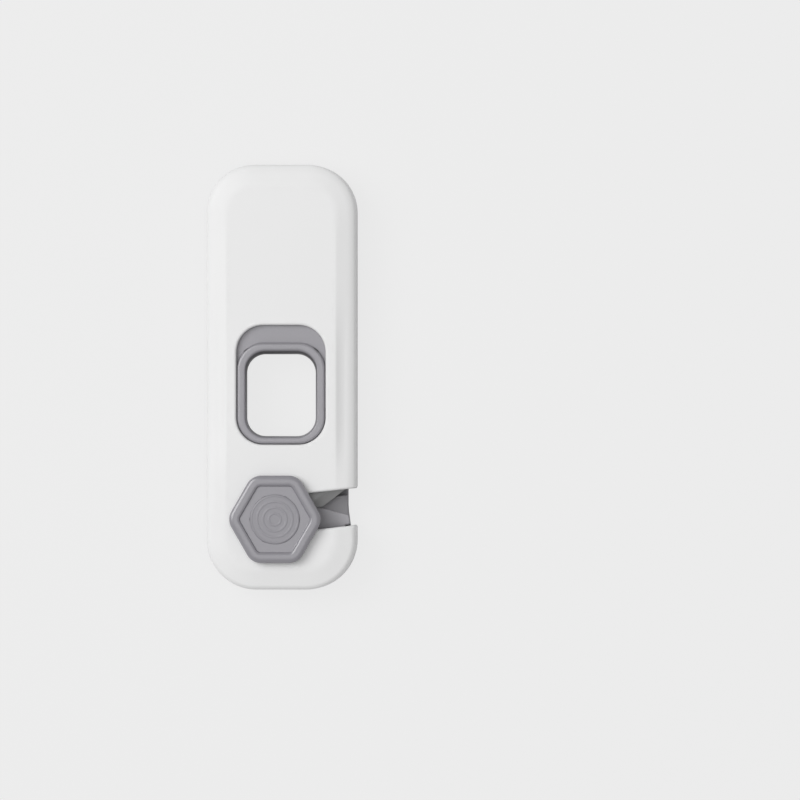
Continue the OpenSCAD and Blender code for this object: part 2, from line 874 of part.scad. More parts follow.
// Step on the base that lies in the notch under the bolt
module catch_step() {
    fall = (arm_w / 2 - step_x) * tan(notch_slope);
    rise = arm_w / 2 * tan(notch_slope);
    low = notch_y - notch_w / 2 - jaw_back + step_gap;
    high = notch_y + notch_w / 2 - step_near_gap;
    corner_x = arm_w / 2 - wall - post_play - thin_gap;
    corner_fall = (arm_w / 2 - corner_x) * tan(notch_slope);
    mouth_low = notch_y - notch_w / 2;
    intersection() {
        catch_plate(step_edge, base_z + base_t - thin_gap, step_z);
        translate([0, 0, base_z])
            linear_extrude(step_z - base_z + overrun)
                polygon([
                    [step_x, low - fall], [corner_x - step_corner, low - corner_fall],
                    [corner_x, mouth_low], [arm_w, mouth_low],
                    [arm_w, high + rise], [step_x, high - fall]
                ]);
    }
}

module catch_base() {
    top = base_z + base_t;
    color(grey)
        difference() {
            union() {
                catch_plate(0, base_z, top);
                translate(post)
                    bar(spigot_r, top - thin_gap, post_top);
                catch_step();
            }
            translate([recess_x, recess_y, step_z - catch_recess])
                rotate([0, 0, -recess_slope])
                    cube([arm_w, arm_w, catch_recess + overrun]);
            translate(post)
                bar(head_screw_r + screw_hole_gap, post_top - head_screw_l, post_top + overrun);
        }
}

module post_sleeve() {
    color(grey)
        translate(post)
            difference() {
                bar(post_r, base_z + base_t, post_top);
                bar(spigot_r + running_gap, base_z, post_top + overrun);
            }
}

module head_washer() {
    color(white)
        translate(post)
            difference() {
                bar(shoulder_r + head_washer_w + running_gap, post_top, head_z);
                bar(shoulder_r + running_gap, post_top - overrun, head_z + overrun);
            }
}

module head_screw() {
    head = head_z + web_t + running_gap;
    color(steel)
        translate(post)
            difference() {
                union() {
                    bar(head_screw_r, post_top + thin_gap - head_screw_l, post_top);
                    bar(shoulder_r, post_top, head);
                    bar(head_screw_head_r, head, head_z + web_t + head_screw_head_h);
                }
                for (turn = [0, 90])
                    rotate([0, 0, turn])
                        translate([-head_screw_head_r / 2, -slot_w / 2,
                                   head_z + web_t + head_screw_head_h - slot_depth])
                            cube([head_screw_head_r, slot_w, slot_depth + overrun]);
            }
}

// Middles of the head's rounded corners, from its right-hand tip round to the left
function head_corners() =
    let (half_l = head_l / 2 - head_r,
         half_w = head_w / 2 - head_r,
         side = (half_w - half_l * sin(30)) / cos(30),
         tip = half_w / cos(30))
    [[tip, 0], [side, half_l], [-side, half_l], [-tip, 0], [-side, -half_l], [side, -half_l]];

// Points round the head at a distance inside its outline
function head_ring(inset, z) =
    let (corners = head_corners())
    [for (k = [0 : 5], i = [0 : corner_steps])
        let (a = 60 * (k - 1 / 2 + i / corner_steps))
        [corners[k][0] + (head_r - inset) * cos(a), corners[k][1] + (head_r - inset) * sin(a), z]];

// A closed hexagon whose edge follows the given profile, from its flat back to the recess floor
module hexagon(profile) {
    n = 6 * (corner_steps + 1);
    rows = len(profile);
    points = [for (p = profile) each head_ring(p[0], p[1])];
    sides = [for (r = [0 : rows - 2], i = [0 : n - 1])
        let (here = r * n, next = (i + 1) % n)
        [here + i, here + n + i, here + n + next, here + next]];
    back = [[for (i = [0 : n - 1]) i]];
    floor = [[for (i = [n - 1 : -1 : 0]) (rows - 1) * n + i]];
    polyhedron(points, concat(sides, back, floor), convexity = 10);
}

module hex_head() {
    top = head_z + head_h;
    color(grey)
        translate(post)
            difference() {
                hexagon([
                    [0, head_z], [0, top - rim_bevel], [rim_bevel, top],
                    [rim_w - rim_slant, top], [rim_w, head_floor_z]
                ]);
                bar(shoulder_r + running_gap, head_z - overrun, top);
                bar(head_pocket_r, head_z + web_t, top);
                bar(disc_r + disc_fit, disc_z, top);
            }
}

module head_disc() {
    color(grey)
        translate(post)
            rotate_extrude()
                polygon(concat(
                    [[0, disc_z], [disc_r, disc_z], [disc_r, disc_top - disc_edge],
                     [disc_r - disc_edge, disc_top]],
                    [for (k = [disc_rings : -1 : 1])
                        let (r = (disc_r - disc_edge) * k / (disc_rings + 1))
                        for (p = [[r + disc_ring_w, disc_top], [r + disc_ring_w / 2, disc_top + disc_ring_h],
                                  [r - disc_ring_w / 2, disc_top + disc_ring_h], [r - disc_ring_w, disc_top]])
                            p],
                    [[0, disc_top]]));
}

pivot_pad();
pivot_base();
spring_washer();
pivot_washer();
pivot_screw();
front_shell();
rear_chassis();
pivot_bush();
case_screws();
spring_rods();
spring_left();
spring_right();
ring_slider();
latch_bolt();
bolt_screws();
catch_pad();
catch_base();
post_sleeve();
head_washer();
head_screw();
hex_head();
head_disc();
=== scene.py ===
"""Swing-arm cabinet safety lock: its moulded surfaces, finishes and studio, on the part's fixed frame."""

import math

import bmesh
import bpy
import numpy as np
from bpy.props import FloatProperty, FloatVectorProperty, IntProperty, PointerProperty
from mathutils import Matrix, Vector
from mathutils.geometry import tessellate_polygon


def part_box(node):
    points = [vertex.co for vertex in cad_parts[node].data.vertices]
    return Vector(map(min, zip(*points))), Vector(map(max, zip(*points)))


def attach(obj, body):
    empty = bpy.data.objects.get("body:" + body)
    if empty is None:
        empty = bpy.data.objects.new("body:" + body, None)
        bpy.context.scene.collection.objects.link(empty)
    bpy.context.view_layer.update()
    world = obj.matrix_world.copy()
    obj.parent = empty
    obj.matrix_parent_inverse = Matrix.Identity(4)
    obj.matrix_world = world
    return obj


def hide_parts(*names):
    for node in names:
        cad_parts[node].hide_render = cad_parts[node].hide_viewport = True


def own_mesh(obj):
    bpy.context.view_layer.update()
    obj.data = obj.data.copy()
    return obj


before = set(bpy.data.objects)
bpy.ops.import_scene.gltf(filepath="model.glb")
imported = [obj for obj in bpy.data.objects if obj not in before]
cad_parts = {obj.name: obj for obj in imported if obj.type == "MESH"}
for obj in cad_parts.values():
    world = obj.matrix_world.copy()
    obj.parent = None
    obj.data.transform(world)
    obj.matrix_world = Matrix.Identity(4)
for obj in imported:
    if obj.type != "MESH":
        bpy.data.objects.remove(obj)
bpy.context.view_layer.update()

bl_info = {
    "name": "Cabinet Safety Lock",
    "version": (1, 0, 0),
    "blender": (4, 5, 0),
    "location": "View3D > Sidebar > Safety Lock",
    "description": "Builds the surfaces and finishes of a swing-arm cabinet safety lock",
    "category": "Object",
}

MM = 0.001
COLOUR = {"subtype": "COLOR", "size": 3, "min": 0, "max": 1}

# Lowest and highest corners of the solids that the surfaces follow
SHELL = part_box("front_shell")
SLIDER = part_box("ring_slider")
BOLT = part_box("latch_bolt")
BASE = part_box("catch_base")
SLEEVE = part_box("post_sleeve")
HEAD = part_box("hex_head")
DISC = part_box("head_disc")
HALF_W = (SHELL[1][0] - SHELL[0][0]) / 2
HALF_L = (SHELL[1][1] - SHELL[0][1]) / 2
BACK_Z = SHELL[0][2]
CROWN_Z = SHELL[1][2]

# Plan: the post, the window's middle, the notch with its throat and seat, and the catch's flare
POST = np.array([-1.6, -42.6]) * MM
WINDOW_Y = -2.285 * MM
NOTCH_Y = -38.8 * MM
NOTCH_W = 11.1 * MM
NOTCH_SLOPE = math.tan(math.radians(6.2))
THROAT_X = 8.3 * MM
THROAT_R = 2.0 * MM
SEAT_R = 3.6 * MM
FLARE_L = 6.5 * MM

# Casing: half-widths of the crease's bend, radii of the inner wall and the rim, flats past crease and lip
SIDE_SOFT = 0.4 * MM
END_SOFT = 1.15 * MM
INNER_SOFT = 0.1 * MM
INNER_EDGE_R = 0.3 * MM
INNER_SHOULDER_R = 0.5 * MM
RIM_R = 0.3 * MM
CROWN_HOLD = 1.2 * MM
LIP_HOLD = 0.25 * MM

# Ring: its gap to the window, its travel, and the length that its springs keep spare
RING_GAP = 0.25 * MM
RING_TRAVEL = 5.2 * MM

# Meshes: how near vertices are one, how short edges are none, a slab's flat inside its edge, the overlap
WELD = 1e-4 * MM
SLIVER = 1e-5 * MM
FLAT_HOLD = 0.3 * MM
OVERLAP = 0.1 * MM

# Materials: drift of colour and roughness, the bumps' depths, the foam's cells, strength of the painted
# shade on sunk faces
DRIFT_SCALE = 90
GLOSS_DRIFT = 0.04
GRAIN_DEPTH = 0.02 * MM
CELL_SIZE = 0.35 * MM
CELL_DEPTH = 0.08 * MM
PAINTED_SHADE_SHARES = {"ring": 0.72, "step": 0.38}
HIDDEN_PARTS = {
    "chassis": ["rear_chassis"],
    "base": ["pivot_base"],
    "bush": ["pivot_bush", "head_washer"],
    "zinc": ["spring_washer", "pivot_washer", "pivot_screw", "case_screws", "bolt_screws", "head_screw"],
    "wire": ["spring_rods"],
}

# Stage: the photo's width, a pixel's size at the lock, the origin's pixel, the camera's aim, the floor
PICTURE_PX = 800
PIXEL = 0.3 * MM
ORIGIN_PX = (281.9, 377.2)
AIM_SHIFT = 0.13 * MM
AIM_Z = 12 * MM
FLOOR_W = 6.0
FLOOR_GAP = 0.2 * MM
FLOOR_BOUNCE = 0.86


class LockSizes(bpy.types.PropertyGroup):
    """Sizes of the lock's moulded edges and surfaces"""

    pivot_end_radius: FloatProperty(
        name="Pivot End Radius", description="Corner radius of the casing at the pivot end",
        default=14.4 * MM, min=5 * MM, max=20 * MM, unit="LENGTH")
    catch_end_radius: FloatProperty(
        name="Catch End Radius", description="Corner radius of the casing at the catch end",
        default=15.0 * MM, min=5 * MM, max=20 * MM, unit="LENGTH")
    edge_radius: FloatProperty(
        name="Edge Radius", description="Radius that rounds the side wall into the shoulder",
        default=1.7 * MM, min=1 * MM, max=5 * MM, unit="LENGTH")
    shoulder_radius: FloatProperty(
        name="Shoulder Radius", description="Radius of the gentle shoulder between edge and facet",
        default=6.0 * MM, min=2 * MM, max=12 * MM, unit="LENGTH")
    shoulder_slope: FloatProperty(
        name="Shoulder Slope", description="Slope at which the edge's radius passes into the shoulder's",
        default=math.radians(28), min=math.radians(15), max=math.radians(60), subtype="ANGLE")
    facet_slope: FloatProperty(
        name="Facet Slope", description="Slope of the flat facet at the pivot end",
        default=math.radians(13.5), min=math.radians(5), max=math.radians(30), subtype="ANGLE")
    cove_slope: FloatProperty(
        name="Cove Slope", description="Slope at the crease of the hollow facet beside the window",
        default=math.radians(31), min=math.radians(5), max=math.radians(40), subtype="ANGLE")
    brim_slope: FloatProperty(
        name="Brim Slope", description="Slope of the hollow facet's outer part and of the facet beyond it",
        default=math.radians(8), min=math.radians(2), max=math.radians(30), subtype="ANGLE")
    end_slope: FloatProperty(
        name="End Slope", description="Slope of the softer facet round the catch end",
        default=math.radians(11), min=math.radians(5), max=math.radians(30), subtype="ANGLE")
    crease: FloatProperty(
        name="Crease", description="Distance of the crown's crease from the casing's side",
        default=5.85 * MM, min=4 * MM, max=9 * MM, unit="LENGTH")
    wall: FloatProperty(
        name="Wall", description="Thickness of the casing's wall",
        default=2.0 * MM, min=1 * MM, max=3 * MM, unit="LENGTH")
    lip_radius: FloatProperty(
        name="Lip Radius", description="Radius that rounds the edges of the window and the notch",
        default=0.7 * MM, min=0.1 * MM, max=1.2 * MM, unit="LENGTH")
    window_width: FloatProperty(
        name="Window Width", description="Width of the finger window",
        default=26.8 * MM, min=20 * MM, max=30 * MM, unit="LENGTH")
    window_length: FloatProperty(
        name="Window Length", description="Length of the finger window",
        default=35.85 * MM, min=30 * MM, max=40 * MM, unit="LENGTH")
    window_radius: FloatProperty(
        name="Window Radius", description="Corner radius of the finger window",
        default=8.1 * MM, min=3 * MM, max=10 * MM, unit="LENGTH")
    moulded_edge: FloatProperty(
        name="Moulded Edge", description="Radius on the small edges of the grey mouldings",
        default=0.35 * MM, min=0.05 * MM, max=0.8 * MM, unit="LENGTH")
    arc_steps: IntProperty(
        name="Arc Steps", description="Number of steps in a quarter of a round corner",
        default=20, min=6, max=48)


class LockFinishes(bpy.types.PropertyGroup):
    """Colours and gloss of the lock's materials"""

    casing_colour: FloatVectorProperty(
        name="Casing Colour", description="Colour of the white casing",
        default=(0.85, 0.85, 0.85), **COLOUR)
    casing_roughness: FloatProperty(
        name="Casing Roughness", description="Roughness of the white casing",
        subtype="FACTOR", default=0.5, min=0, max=1)
    ring_colour: FloatVectorProperty(
        name="Ring Colour", description="Colour of the finger ring",
        default=(0.303, 0.295, 0.319), **COLOUR)
    head_colour: FloatVectorProperty(
        name="Head Colour", description="Colour of the hexagonal head",
        default=(0.276, 0.268, 0.293), **COLOUR)
    disc_colour: FloatVectorProperty(
        name="Disc Colour", description="Colour of the disc in the head",
        default=(0.289, 0.281, 0.306), **COLOUR)
    bolt_colour: FloatVectorProperty(
        name="Bolt Colour", description="Colour of the bolt",
        default=(0.4, 0.4, 0.4), **COLOUR)
    base_colour: FloatVectorProperty(
        name="Base Colour", description="Colour of the two bases",
        default=(0.43, 0.42, 0.445), **COLOUR)
    chassis_colour: FloatVectorProperty(
        name="Chassis Colour", description="Colour of the back of the casing",
        default=(0.27, 0.27, 0.28), **COLOUR)
    foam_colour: FloatVectorProperty(
        name="Foam Colour", description="Colour of the adhesive pads",
        default=(0.74, 0.745, 0.75), **COLOUR)


class LockStage(bpy.types.PropertyGroup):
    """Floor, light and camera"""

    floor_colour: FloatProperty(
        name="Floor", description="Grey level of the floor as the camera sees it",
        subtype="FACTOR", default=0.847, min=0, max=1)
    shadow_share: FloatProperty(
        name="Shadow Share", description="Share of the floor that takes the object's shadow",
        subtype="FACTOR", default=0.08, min=0, max=1)
    sky_strength: FloatProperty(
        name="Sky Strength", description="Brightness of the even light from all round",
        default=0.36, min=0, max=2)
    key_power: FloatProperty(
        name="Key Power", description="Power of the soft lamp at the upper left",
        default=11.4, min=0, max=100, subtype="POWER")
    top_power: FloatProperty(
        name="Top Light Power", description="Power of the broad lamp above the camera",
        default=31.0, min=0, max=200, subtype="POWER")
    camera_distance: FloatProperty(
        name="Camera Distance", description="Distance from the camera to the lock",
        default=3.5, min=1, max=6, unit="LENGTH")
    camera_lean: FloatProperty(
        name="Camera Lean", description="Lean of the camera towards the notch's side",
        default=math.radians(3), min=0, max=math.radians(20), subtype="ANGLE")


def lock():
    """The scene's sizes, finishes and stage settings"""
    scene = bpy.context.scene
    return scene.lock_sizes, scene.lock_finishes, scene.lock_stage


# Surfaces

def evenly(start, end, steps):
    """Values from start to end in even steps, both ends among them"""
    return np.linspace(start, end, steps + 1)


def ease(t):
    """A soft turn from 0 to 1: t^2 (3 - 2 t)"""
    return t * t * (3 - 2 * t)


def rounded_path(corners, radii, steps):
    """Points and outward normals round a closed counter-clockwise polygon with rounded corners.

    Each corner is an arc tangent to its two sides: middle + radius * (cos a, sin a), with a
    running evenly from the first side's normal to the second's.
    """
    corners = np.asarray(corners, float)
    radii = np.broadcast_to(np.asarray(radii, float), len(corners))
    ahead = np.roll(corners, -1, axis=0) - corners
    ahead /= np.linalg.norm(ahead, axis=1)[:, None]
    behind = np.roll(ahead, 1, axis=0)
    turn = np.arctan2(behind[:, 0] * ahead[:, 1] - behind[:, 1] * ahead[:, 0], (behind * ahead).sum(1))
    side = np.where(turn < 0, -1.0, 1.0)
    normal = np.column_stack([behind[:, 1], -behind[:, 0]])
    start = corners - behind * (radii * np.tan(np.abs(turn) / 2))[:, None]
    middle = start - normal * (side * radii)[:, None]
    angle = np.arctan2(normal[:, 1], normal[:, 0])[:, None] + turn[:, None] * evenly(0, 1, steps)
    out = np.stack([np.cos(angle), np.sin(angle)], axis=-1)
    points = middle[:, None, :] + out * (side * radii)[:, None, None]
    return points.reshape(-1, 2), out.reshape(-1, 2)


def box_corners(x0, y0, x1, y1):
    """Corners of an upright rectangle, counter-clockwise from its lower left"""
    return [(x0, y0), (x1, y0), (x1, y1), (x0, y1)]


def box_path(middle, width, length, radius, steps):
    """Points and normals round a rectangle with rounded corners, given by its middle"""
    x, y = middle
    return rounded_path(
        box_corners(x - width / 2, y - length / 2, x + width / 2, y + length / 2), radius, steps)


def layer(path, inset, z):
    """A closed path moved in by inset along its normals, at height z"""
    points, normals = path
    flat = points - normals * inset
    return np.column_stack([flat, np.full(len(flat), z)])


def quarter(radius, steps=4):
    """Quarter-round rows of [inset, drop]: radius * (1 - cos a), radius * (1 - sin a)"""
    a = evenly(0, math.pi / 2, steps)
    return np.column_stack([radius * (1 - np.cos(a)), radius * (1 - np.sin(a))])


def part(vertices, faces):
    """A part as (vertices, corners, sizes): each face's vertices in turn, and each face's count"""
    faces = np.asarray(faces)
    return np.asarray(vertices, float), faces.ravel(), np.full(len(faces), faces.shape[1])


def skin(rings, closed=True, looped=False):
    """Quads through rings of equal length; closed joins each ring's ends, looped the last to the first"""
    rings = np.asarray(rings, float)
    rows, columns = rings.shape[:2]
    index = np.arange(rows * columns).reshape(rows, columns)
    if closed:
        index = np.concatenate([index, index[:, :1]], axis=1)
    if looped:
        index = np.concatenate([index, index[:1]], axis=0)
    quads = np.stack([index[:-1, :-1], index[:-1, 1:], index[1:, 1:], index[1:, :-1]], axis=-1)
    return part(rings.reshape(-1, 3), quads.reshape(-1, 4))


def face_between(outer, hole):
    """A flat surface inside one loop of points and outside another, as triangles"""
    return part(np.concatenate([outer, hole]), tessellate_polygon([outer.tolist(), hole.tolist()]))


def cap(ring):
    """One flat face over a ring"""
    return part(ring, [np.arange(len(ring))])


def solid(path, rows):
    """A closed solid whose edge follows (inset, z) rows carried round a path, with flat ends"""
    rings = [layer(path, inset, z) for inset, z in rows]
    return [skin(rings), cap(rings[0]), cap(rings[-1])]


def slab(path, z0, z1, edge):
    """A solid plate over a path with its edges rounded: quarter circles of the edge's radius"""
    hold = edge + FLAT_HOLD
    low = [(i, z0 + d) for i, d in quarter(edge)[::-1]]
    high = [(i, z1 - d) for i, d in quarter(edge)]
    return solid(path, [(hold, z0)] + low + high + [(hold, z1)])


def lathe(profile, steps):
    """A profile of (radius, z) turned about the post's axis: x = r cos a, y = r sin a"""
    a = np.linspace(0, 2 * math.pi, steps, endpoint=False)
    profile = np.asarray(profile, float)
    x = POST[0] + profile[:, :1] * np.cos(a)
    y = POST[1] + profile[:, :1] * np.sin(a)
    return np.stack([x, y, np.broadcast_to(profile[:, 1:], x.shape)], axis=-1)


def joined(name, parts):
    """One mesh from parts of (vertices, corners, sizes)"""
    vertices, corners, sizes = zip(*parts)
    starts = np.cumsum([0] + [len(v) for v in vertices[:-1]])
    corners = np.concatenate([c + start for c, start in zip(corners, starts)])
    vertices, sizes = np.concatenate(vertices), np.concatenate(sizes)
    mesh = bpy.data.meshes.new(name)
    mesh.vertices.add(len(vertices))
    mesh.vertices.foreach_set("co", vertices.ravel())
    mesh.loops.add(len(corners))
    mesh.loops.foreach_set("vertex_index", corners)
    mesh.polygons.add(len(sizes))
    mesh.polygons.foreach_set("loop_start", np.cumsum(sizes) - sizes)
    mesh.update(calc_edges=True)
    return mesh


def cut_off(parts, point, normal):
    """The parts as one, without what lies beyond a plane, and closed along the cut"""
    mesh = joined("uncut", parts)
    work = bmesh.new()
    work.from_mesh(mesh)
    bmesh.ops.remove_doubles(work, verts=work.verts, dist=WELD)
    cut = bmesh.ops.bisect_plane(
        work, geom=work.verts[:] + work.edges[:] + work.faces[:], dist=SLIVER,
        plane_co=point, plane_no=normal, clear_outer=True)
    edges = [g for g in cut["geom_cut"] if isinstance(g, bmesh.types.BMEdge)]
    bmesh.ops.holes_fill(work, edges=edges)
    work.to_mesh(mesh)
    work.free()
    vertices = np.empty(3 * len(mesh.vertices))
    corners = np.empty(len(mesh.loops), np.int32)
    sizes = np.empty(len(mesh.polygons), np.int32)
    mesh.vertices.foreach_get("co", vertices)
    mesh.loops.foreach_get("vertex_index", corners)
    mesh.polygons.foreach_get("loop_total", sizes)
    bpy.data.meshes.remove(mesh)
    return [(vertices.reshape(-1, 3), corners, sizes)]


def in_scene(name, data):
    """A new object, linked to the scene"""
    thing = bpy.data.objects.new(name, data)
    bpy.context.scene.collection.objects.link(thing)
    return thing


def make(name, parts, material, body, nodes, sharp=32, painted_shade=None, shine=None):
    """Joins parts into one mesh with faces outwards, and seats it on its body in place of its nodes.

    The two functions after sharp give each vertex, from its place, a value from 0 to 1: the first darkens
    the colour there as painted shade, the second makes the material glossier.
    """
    mesh = joined(name, parts)
    work = bmesh.new()
    work.from_mesh(mesh)
    bmesh.ops.remove_doubles(work, verts=work.verts, dist=WELD)
    bmesh.ops.dissolve_degenerate(work, edges=work.edges, dist=SLIVER)
    bmesh.ops.recalc_face_normals(work, faces=work.faces)
    work.to_mesh(mesh)
    work.free()
    mesh.polygons.foreach_set("use_smooth", np.ones(len(mesh.polygons), bool))
    mesh.set_sharp_from_angle(angle=math.radians(sharp))
    mesh.materials.append(material)
    places = np.empty(3 * len(mesh.vertices))
    mesh.vertices.foreach_get("co", places)
    for tag, share in (("painted_shade", painted_shade), ("shine", shine)):
        if share:
            values = share(places.reshape(-1, 3))
            mesh.attributes.new(tag, "FLOAT", "POINT").data.foreach_set("value", values)
    piece = in_scene(name, mesh)
    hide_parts(*nodes)
    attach(piece, body)
    return piece


# Finishes

def ramp(nodes, low, high):
    """A node that maps 0 to 1 onto low to high"""
    node = nodes.new("ShaderNodeMapRange")
    node.inputs["To Min"].default_value = low
    node.inputs["To Max"].default_value = high
    return node


def moulded_plastic(name, colour, roughness, grain, bump, mottle):
    """Injection-moulded plastic: fine grain in the bump, slow drift in colour and gloss"""
    material = bpy.data.materials.new(name)
    material.use_nodes = True
    nodes, links = material.node_tree.nodes, material.node_tree.links
    shader = nodes["Principled BSDF"]
    place = nodes.new("ShaderNodeTexCoord")
    drift = nodes.new("ShaderNodeTexNoise")
    fine = nodes.new("ShaderNodeTexNoise")
    for noise, scale, detail in ((drift, DRIFT_SCALE, 3), (fine, 1 / grain, 2)):
        noise.inputs["Scale"].default_value = scale
        noise.inputs["Detail"].default_value = detail
        links.new(place.outputs["Object"], noise.inputs["Vector"])
    tint = nodes.new("ShaderNodeMix")
    tint.data_type = "RGBA"
    tint.inputs["A"].default_value = (*[c * (1 - mottle) for c in colour], 1)
    tint.inputs["B"].default_value = (*[min(1, c * (1 + mottle)) for c in colour], 1)
    links.new(drift.outputs["Fac"], tint.inputs["Factor"])
    links.new(tint.outputs["Result"], shader.inputs["Base Color"])
    gloss = ramp(nodes, roughness - GLOSS_DRIFT, roughness + GLOSS_DRIFT)
    links.new(fine.outputs["Fac"], gloss.inputs["Value"])
    links.new(gloss.outputs["Result"], shader.inputs["Roughness"])
    relief = nodes.new("ShaderNodeBump")
    relief.inputs["Strength"].default_value = bump
    relief.inputs["Distance"].default_value = GRAIN_DEPTH
    links.new(fine.outputs["Fac"], relief.inputs["Height"])
    links.new(relief.outputs["Normal"], shader.inputs["Normal"])
    return material


def by_vertex(nodes, links, tag, low, high):
    """A value that goes from low to high with a piece's vertex attribute"""
    source = nodes.new("ShaderNodeAttribute")
    source.attribute_name = tag
    level = ramp(nodes, low, high)
    links.new(source.outputs["Fac"], level.inputs["Value"])
    return level.outputs["Result"]


def paint_shade_where_sunk(nodes, links, share):
    """Paints shade on sunk faces: colour * (1 - share * the piece's per-vertex shade value)"""
    colour = nodes["Principled BSDF"].inputs["Base Color"]
    darken = nodes.new("ShaderNodeVectorMath")
    darken.operation = "SCALE"
    links.new(colour.links[0].from_socket, darken.inputs[0])
    links.new(by_vertex(nodes, links, "painted_shade", 1, 1 - share), darken.inputs["Scale"])
    links.new(darken.outputs["Vector"], colour)


def polish_bevels(nodes, links):
    """Makes bevels glossier: the specular level goes from 0.5 to 1 with the piece's shine value"""
    level = by_vertex(nodes, links, "shine", 0.5, 1)
    links.new(level, nodes["Principled BSDF"].inputs["Specular IOR Level"])


def foam_cells(nodes, links):
    """Turns the bump into the small round cells of a closed-cell foam"""
    cells = nodes.new("ShaderNodeTexVoronoi")
    cells.inputs["Scale"].default_value = 1 / CELL_SIZE
    place = next(n for n in nodes if n.type == "TEX_COORD")
    relief = next(n for n in nodes if n.type == "BUMP")
    relief.inputs["Distance"].default_value = CELL_DEPTH
    links.new(place.outputs["Object"], cells.inputs["Vector"])
    links.new(cells.outputs["Distance"], relief.inputs["Height"])


def finish(kind):
    """The lock's material of one kind, made when it is first asked for"""
    _, colours, _ = lock()
    # Name, colour, roughness, grain in millimetres, strength of the bump, drift of the colour
    recipes = {
        "casing": ("white_casing", colours.casing_colour, colours.casing_roughness, 0.5, 0.05, 0.006),
        "ring": ("grey_ring", colours.ring_colour, 0.28, 0.16, 0.15, 0.03),
        "head": ("grey_head", colours.head_colour, 0.24, 0.16, 0.12, 0.03),
        "disc": ("grey_disc", colours.disc_colour, 0.4, 0.16, 0.15, 0.03),
        "bolt": ("dark_bolt", colours.bolt_colour, 0.42, 0.2, 0.25, 0.03),
        "base": ("grey_base", colours.base_colour, 0.5, 0.2, 0.3, 0.03),
        # The base's colour again, with painted shade on the catch's step below half the recess's depth
        "step": ("stepped_base", colours.base_colour, 0.5, 0.2, 0.3, 0.03),
        "chassis": ("dark_chassis", colours.chassis_colour, 0.55, 0.25, 0.3, 0.03),
        "bush": ("pale_bearing", (0.8, 0.8, 0.77), 0.4, 0.3, 0.1, 0.01),
        "foam": ("white_foam", colours.foam_colour, 0.85, 0.3, 0.5, 0.04),
        "wire": ("spring_steel", (0.62, 0.62, 0.63), 0.28, 0.12, 0.25, 0.05),
        "zinc": ("zinc_plate", (0.66, 0.66, 0.65), 0.34, 0.12, 0.25, 0.05),
    }
    name, colour, roughness, grain, bump, mottle = recipes[kind]
    material = bpy.data.materials.get(name)
    if material:
        return material
    material = moulded_plastic(name, colour, roughness, grain * MM, bump, mottle)
    nodes, links = material.node_tree.nodes, material.node_tree.links
    if kind in PAINTED_SHADE_SHARES:
        paint_shade_where_sunk(nodes, links, PAINTED_SHADE_SHARES[kind])
    if kind in ("ring", "head"):
        polish_bevels(nodes, links)
    if kind in ("wire", "zinc"):
        nodes["Principled BSDF"].inputs["Metallic"].default_value = 1
    if kind == "foam":
        foam_cells(nodes, links)
    return material


# Casing

def climb(edge_r, shoulder_r, low, high, fold, soft, top):
    """Rows of (inset, z) up a wall's outside, from its straight side to its flat top.

    One arc turns the side into the shoulder and a wider one turns the shoulder into the facet: the
    inset grows by r * (1 - sin a) and the height by r * cos a, with a falling evenly from upright to
    the facet's slope. The facet's slope goes evenly from low to high, so its height is
    run * (tan low * t + (tan high - tan low) * t^2 / 2). Over the soft crease at the fold the slope
    dies away evenly, which adds soft * tan high * (2 u - u^2).
    """
    lean = lock()[0].shoulder_slope
    edge = evenly(math.pi / 2, lean, 8)[:, None]
    shoulder = evenly(lean, low, 7)[1:, None]
    start = np.array([edge_r * (1 - math.sin(lean)), edge_r * math.cos(lean)])
    arcs = np.concatenate([
        edge_r * np.hstack([1 - np.sin(edge), np.cos(edge)]),
        start + shoulder_r * np.hstack([math.sin(lean) - np.sin(shoulder),
                                        np.cos(shoulder) - math.cos(lean)])])
    t = evenly(0, 1, 8)[1:]
    u = evenly(0, 1, 5)[1:]
    facet_x, facet_z = arcs[-1]
    run = fold - soft - facet_x
    facet = run * (math.tan(low) * t + (math.tan(high) - math.tan(low)) * t * t / 2)
    bend = facet[-1] + soft * math.tan(high) * (2 * u - u * u)
    rows = np.concatenate([
        arcs, np.column_stack([facet_x + run * t, facet_z + facet]),
        np.column_stack([fold - soft + 2 * soft * u, facet_z + bend])])
    return rows + (0, top - rows[-1, 1])


def casing_rows(low, high, soft, shoulder_r):
    """Rows of the casing's wall as (inset, z), from the ceiling's edge round to the crown's.

    low and high are the facet's slopes at its outer side and at the crease.
    """
    sizes, _, _ = lock()
    wall, slope = sizes.wall, sizes.facet_slope
    hold = sizes.crease + CROWN_HOLD
    outer = climb(sizes.edge_radius, shoulder_r, low, high, sizes.crease, soft, CROWN_Z)
    inner = climb(INNER_EDGE_R, INNER_SHOULDER_R, slope, slope,
                  sizes.crease - wall * (1 - math.tan(slope / 2)), INNER_SOFT, CROWN_Z - wall)
    inner[:, 0] += wall
    inset, rise = quarter(RIM_R, 3).T
    bottom = np.concatenate([np.column_stack([wall - inset, BACK_Z + rise]),
                             np.column_stack([inset, BACK_Z + rise])[::-1]])
    return np.concatenate([[[hold, CROWN_Z - wall]], inner[::-1], bottom, outer, [[hold, CROWN_Z]]])


def lip_rows(radius):
    """Distances from a cut edge and the drop there, over a quarter round and a short flat"""
    away, drop = quarter(radius, 5).T
    return np.append(away, radius + LIP_HOLD), np.append(drop, 0)


def notch_side(way, x):
    """Y of the notch's upper (1) or lower (-1) side at a place across the casing"""
    return NOTCH_Y + way * NOTCH_W / 2 - (HALF_W - x) * NOTCH_SLOPE


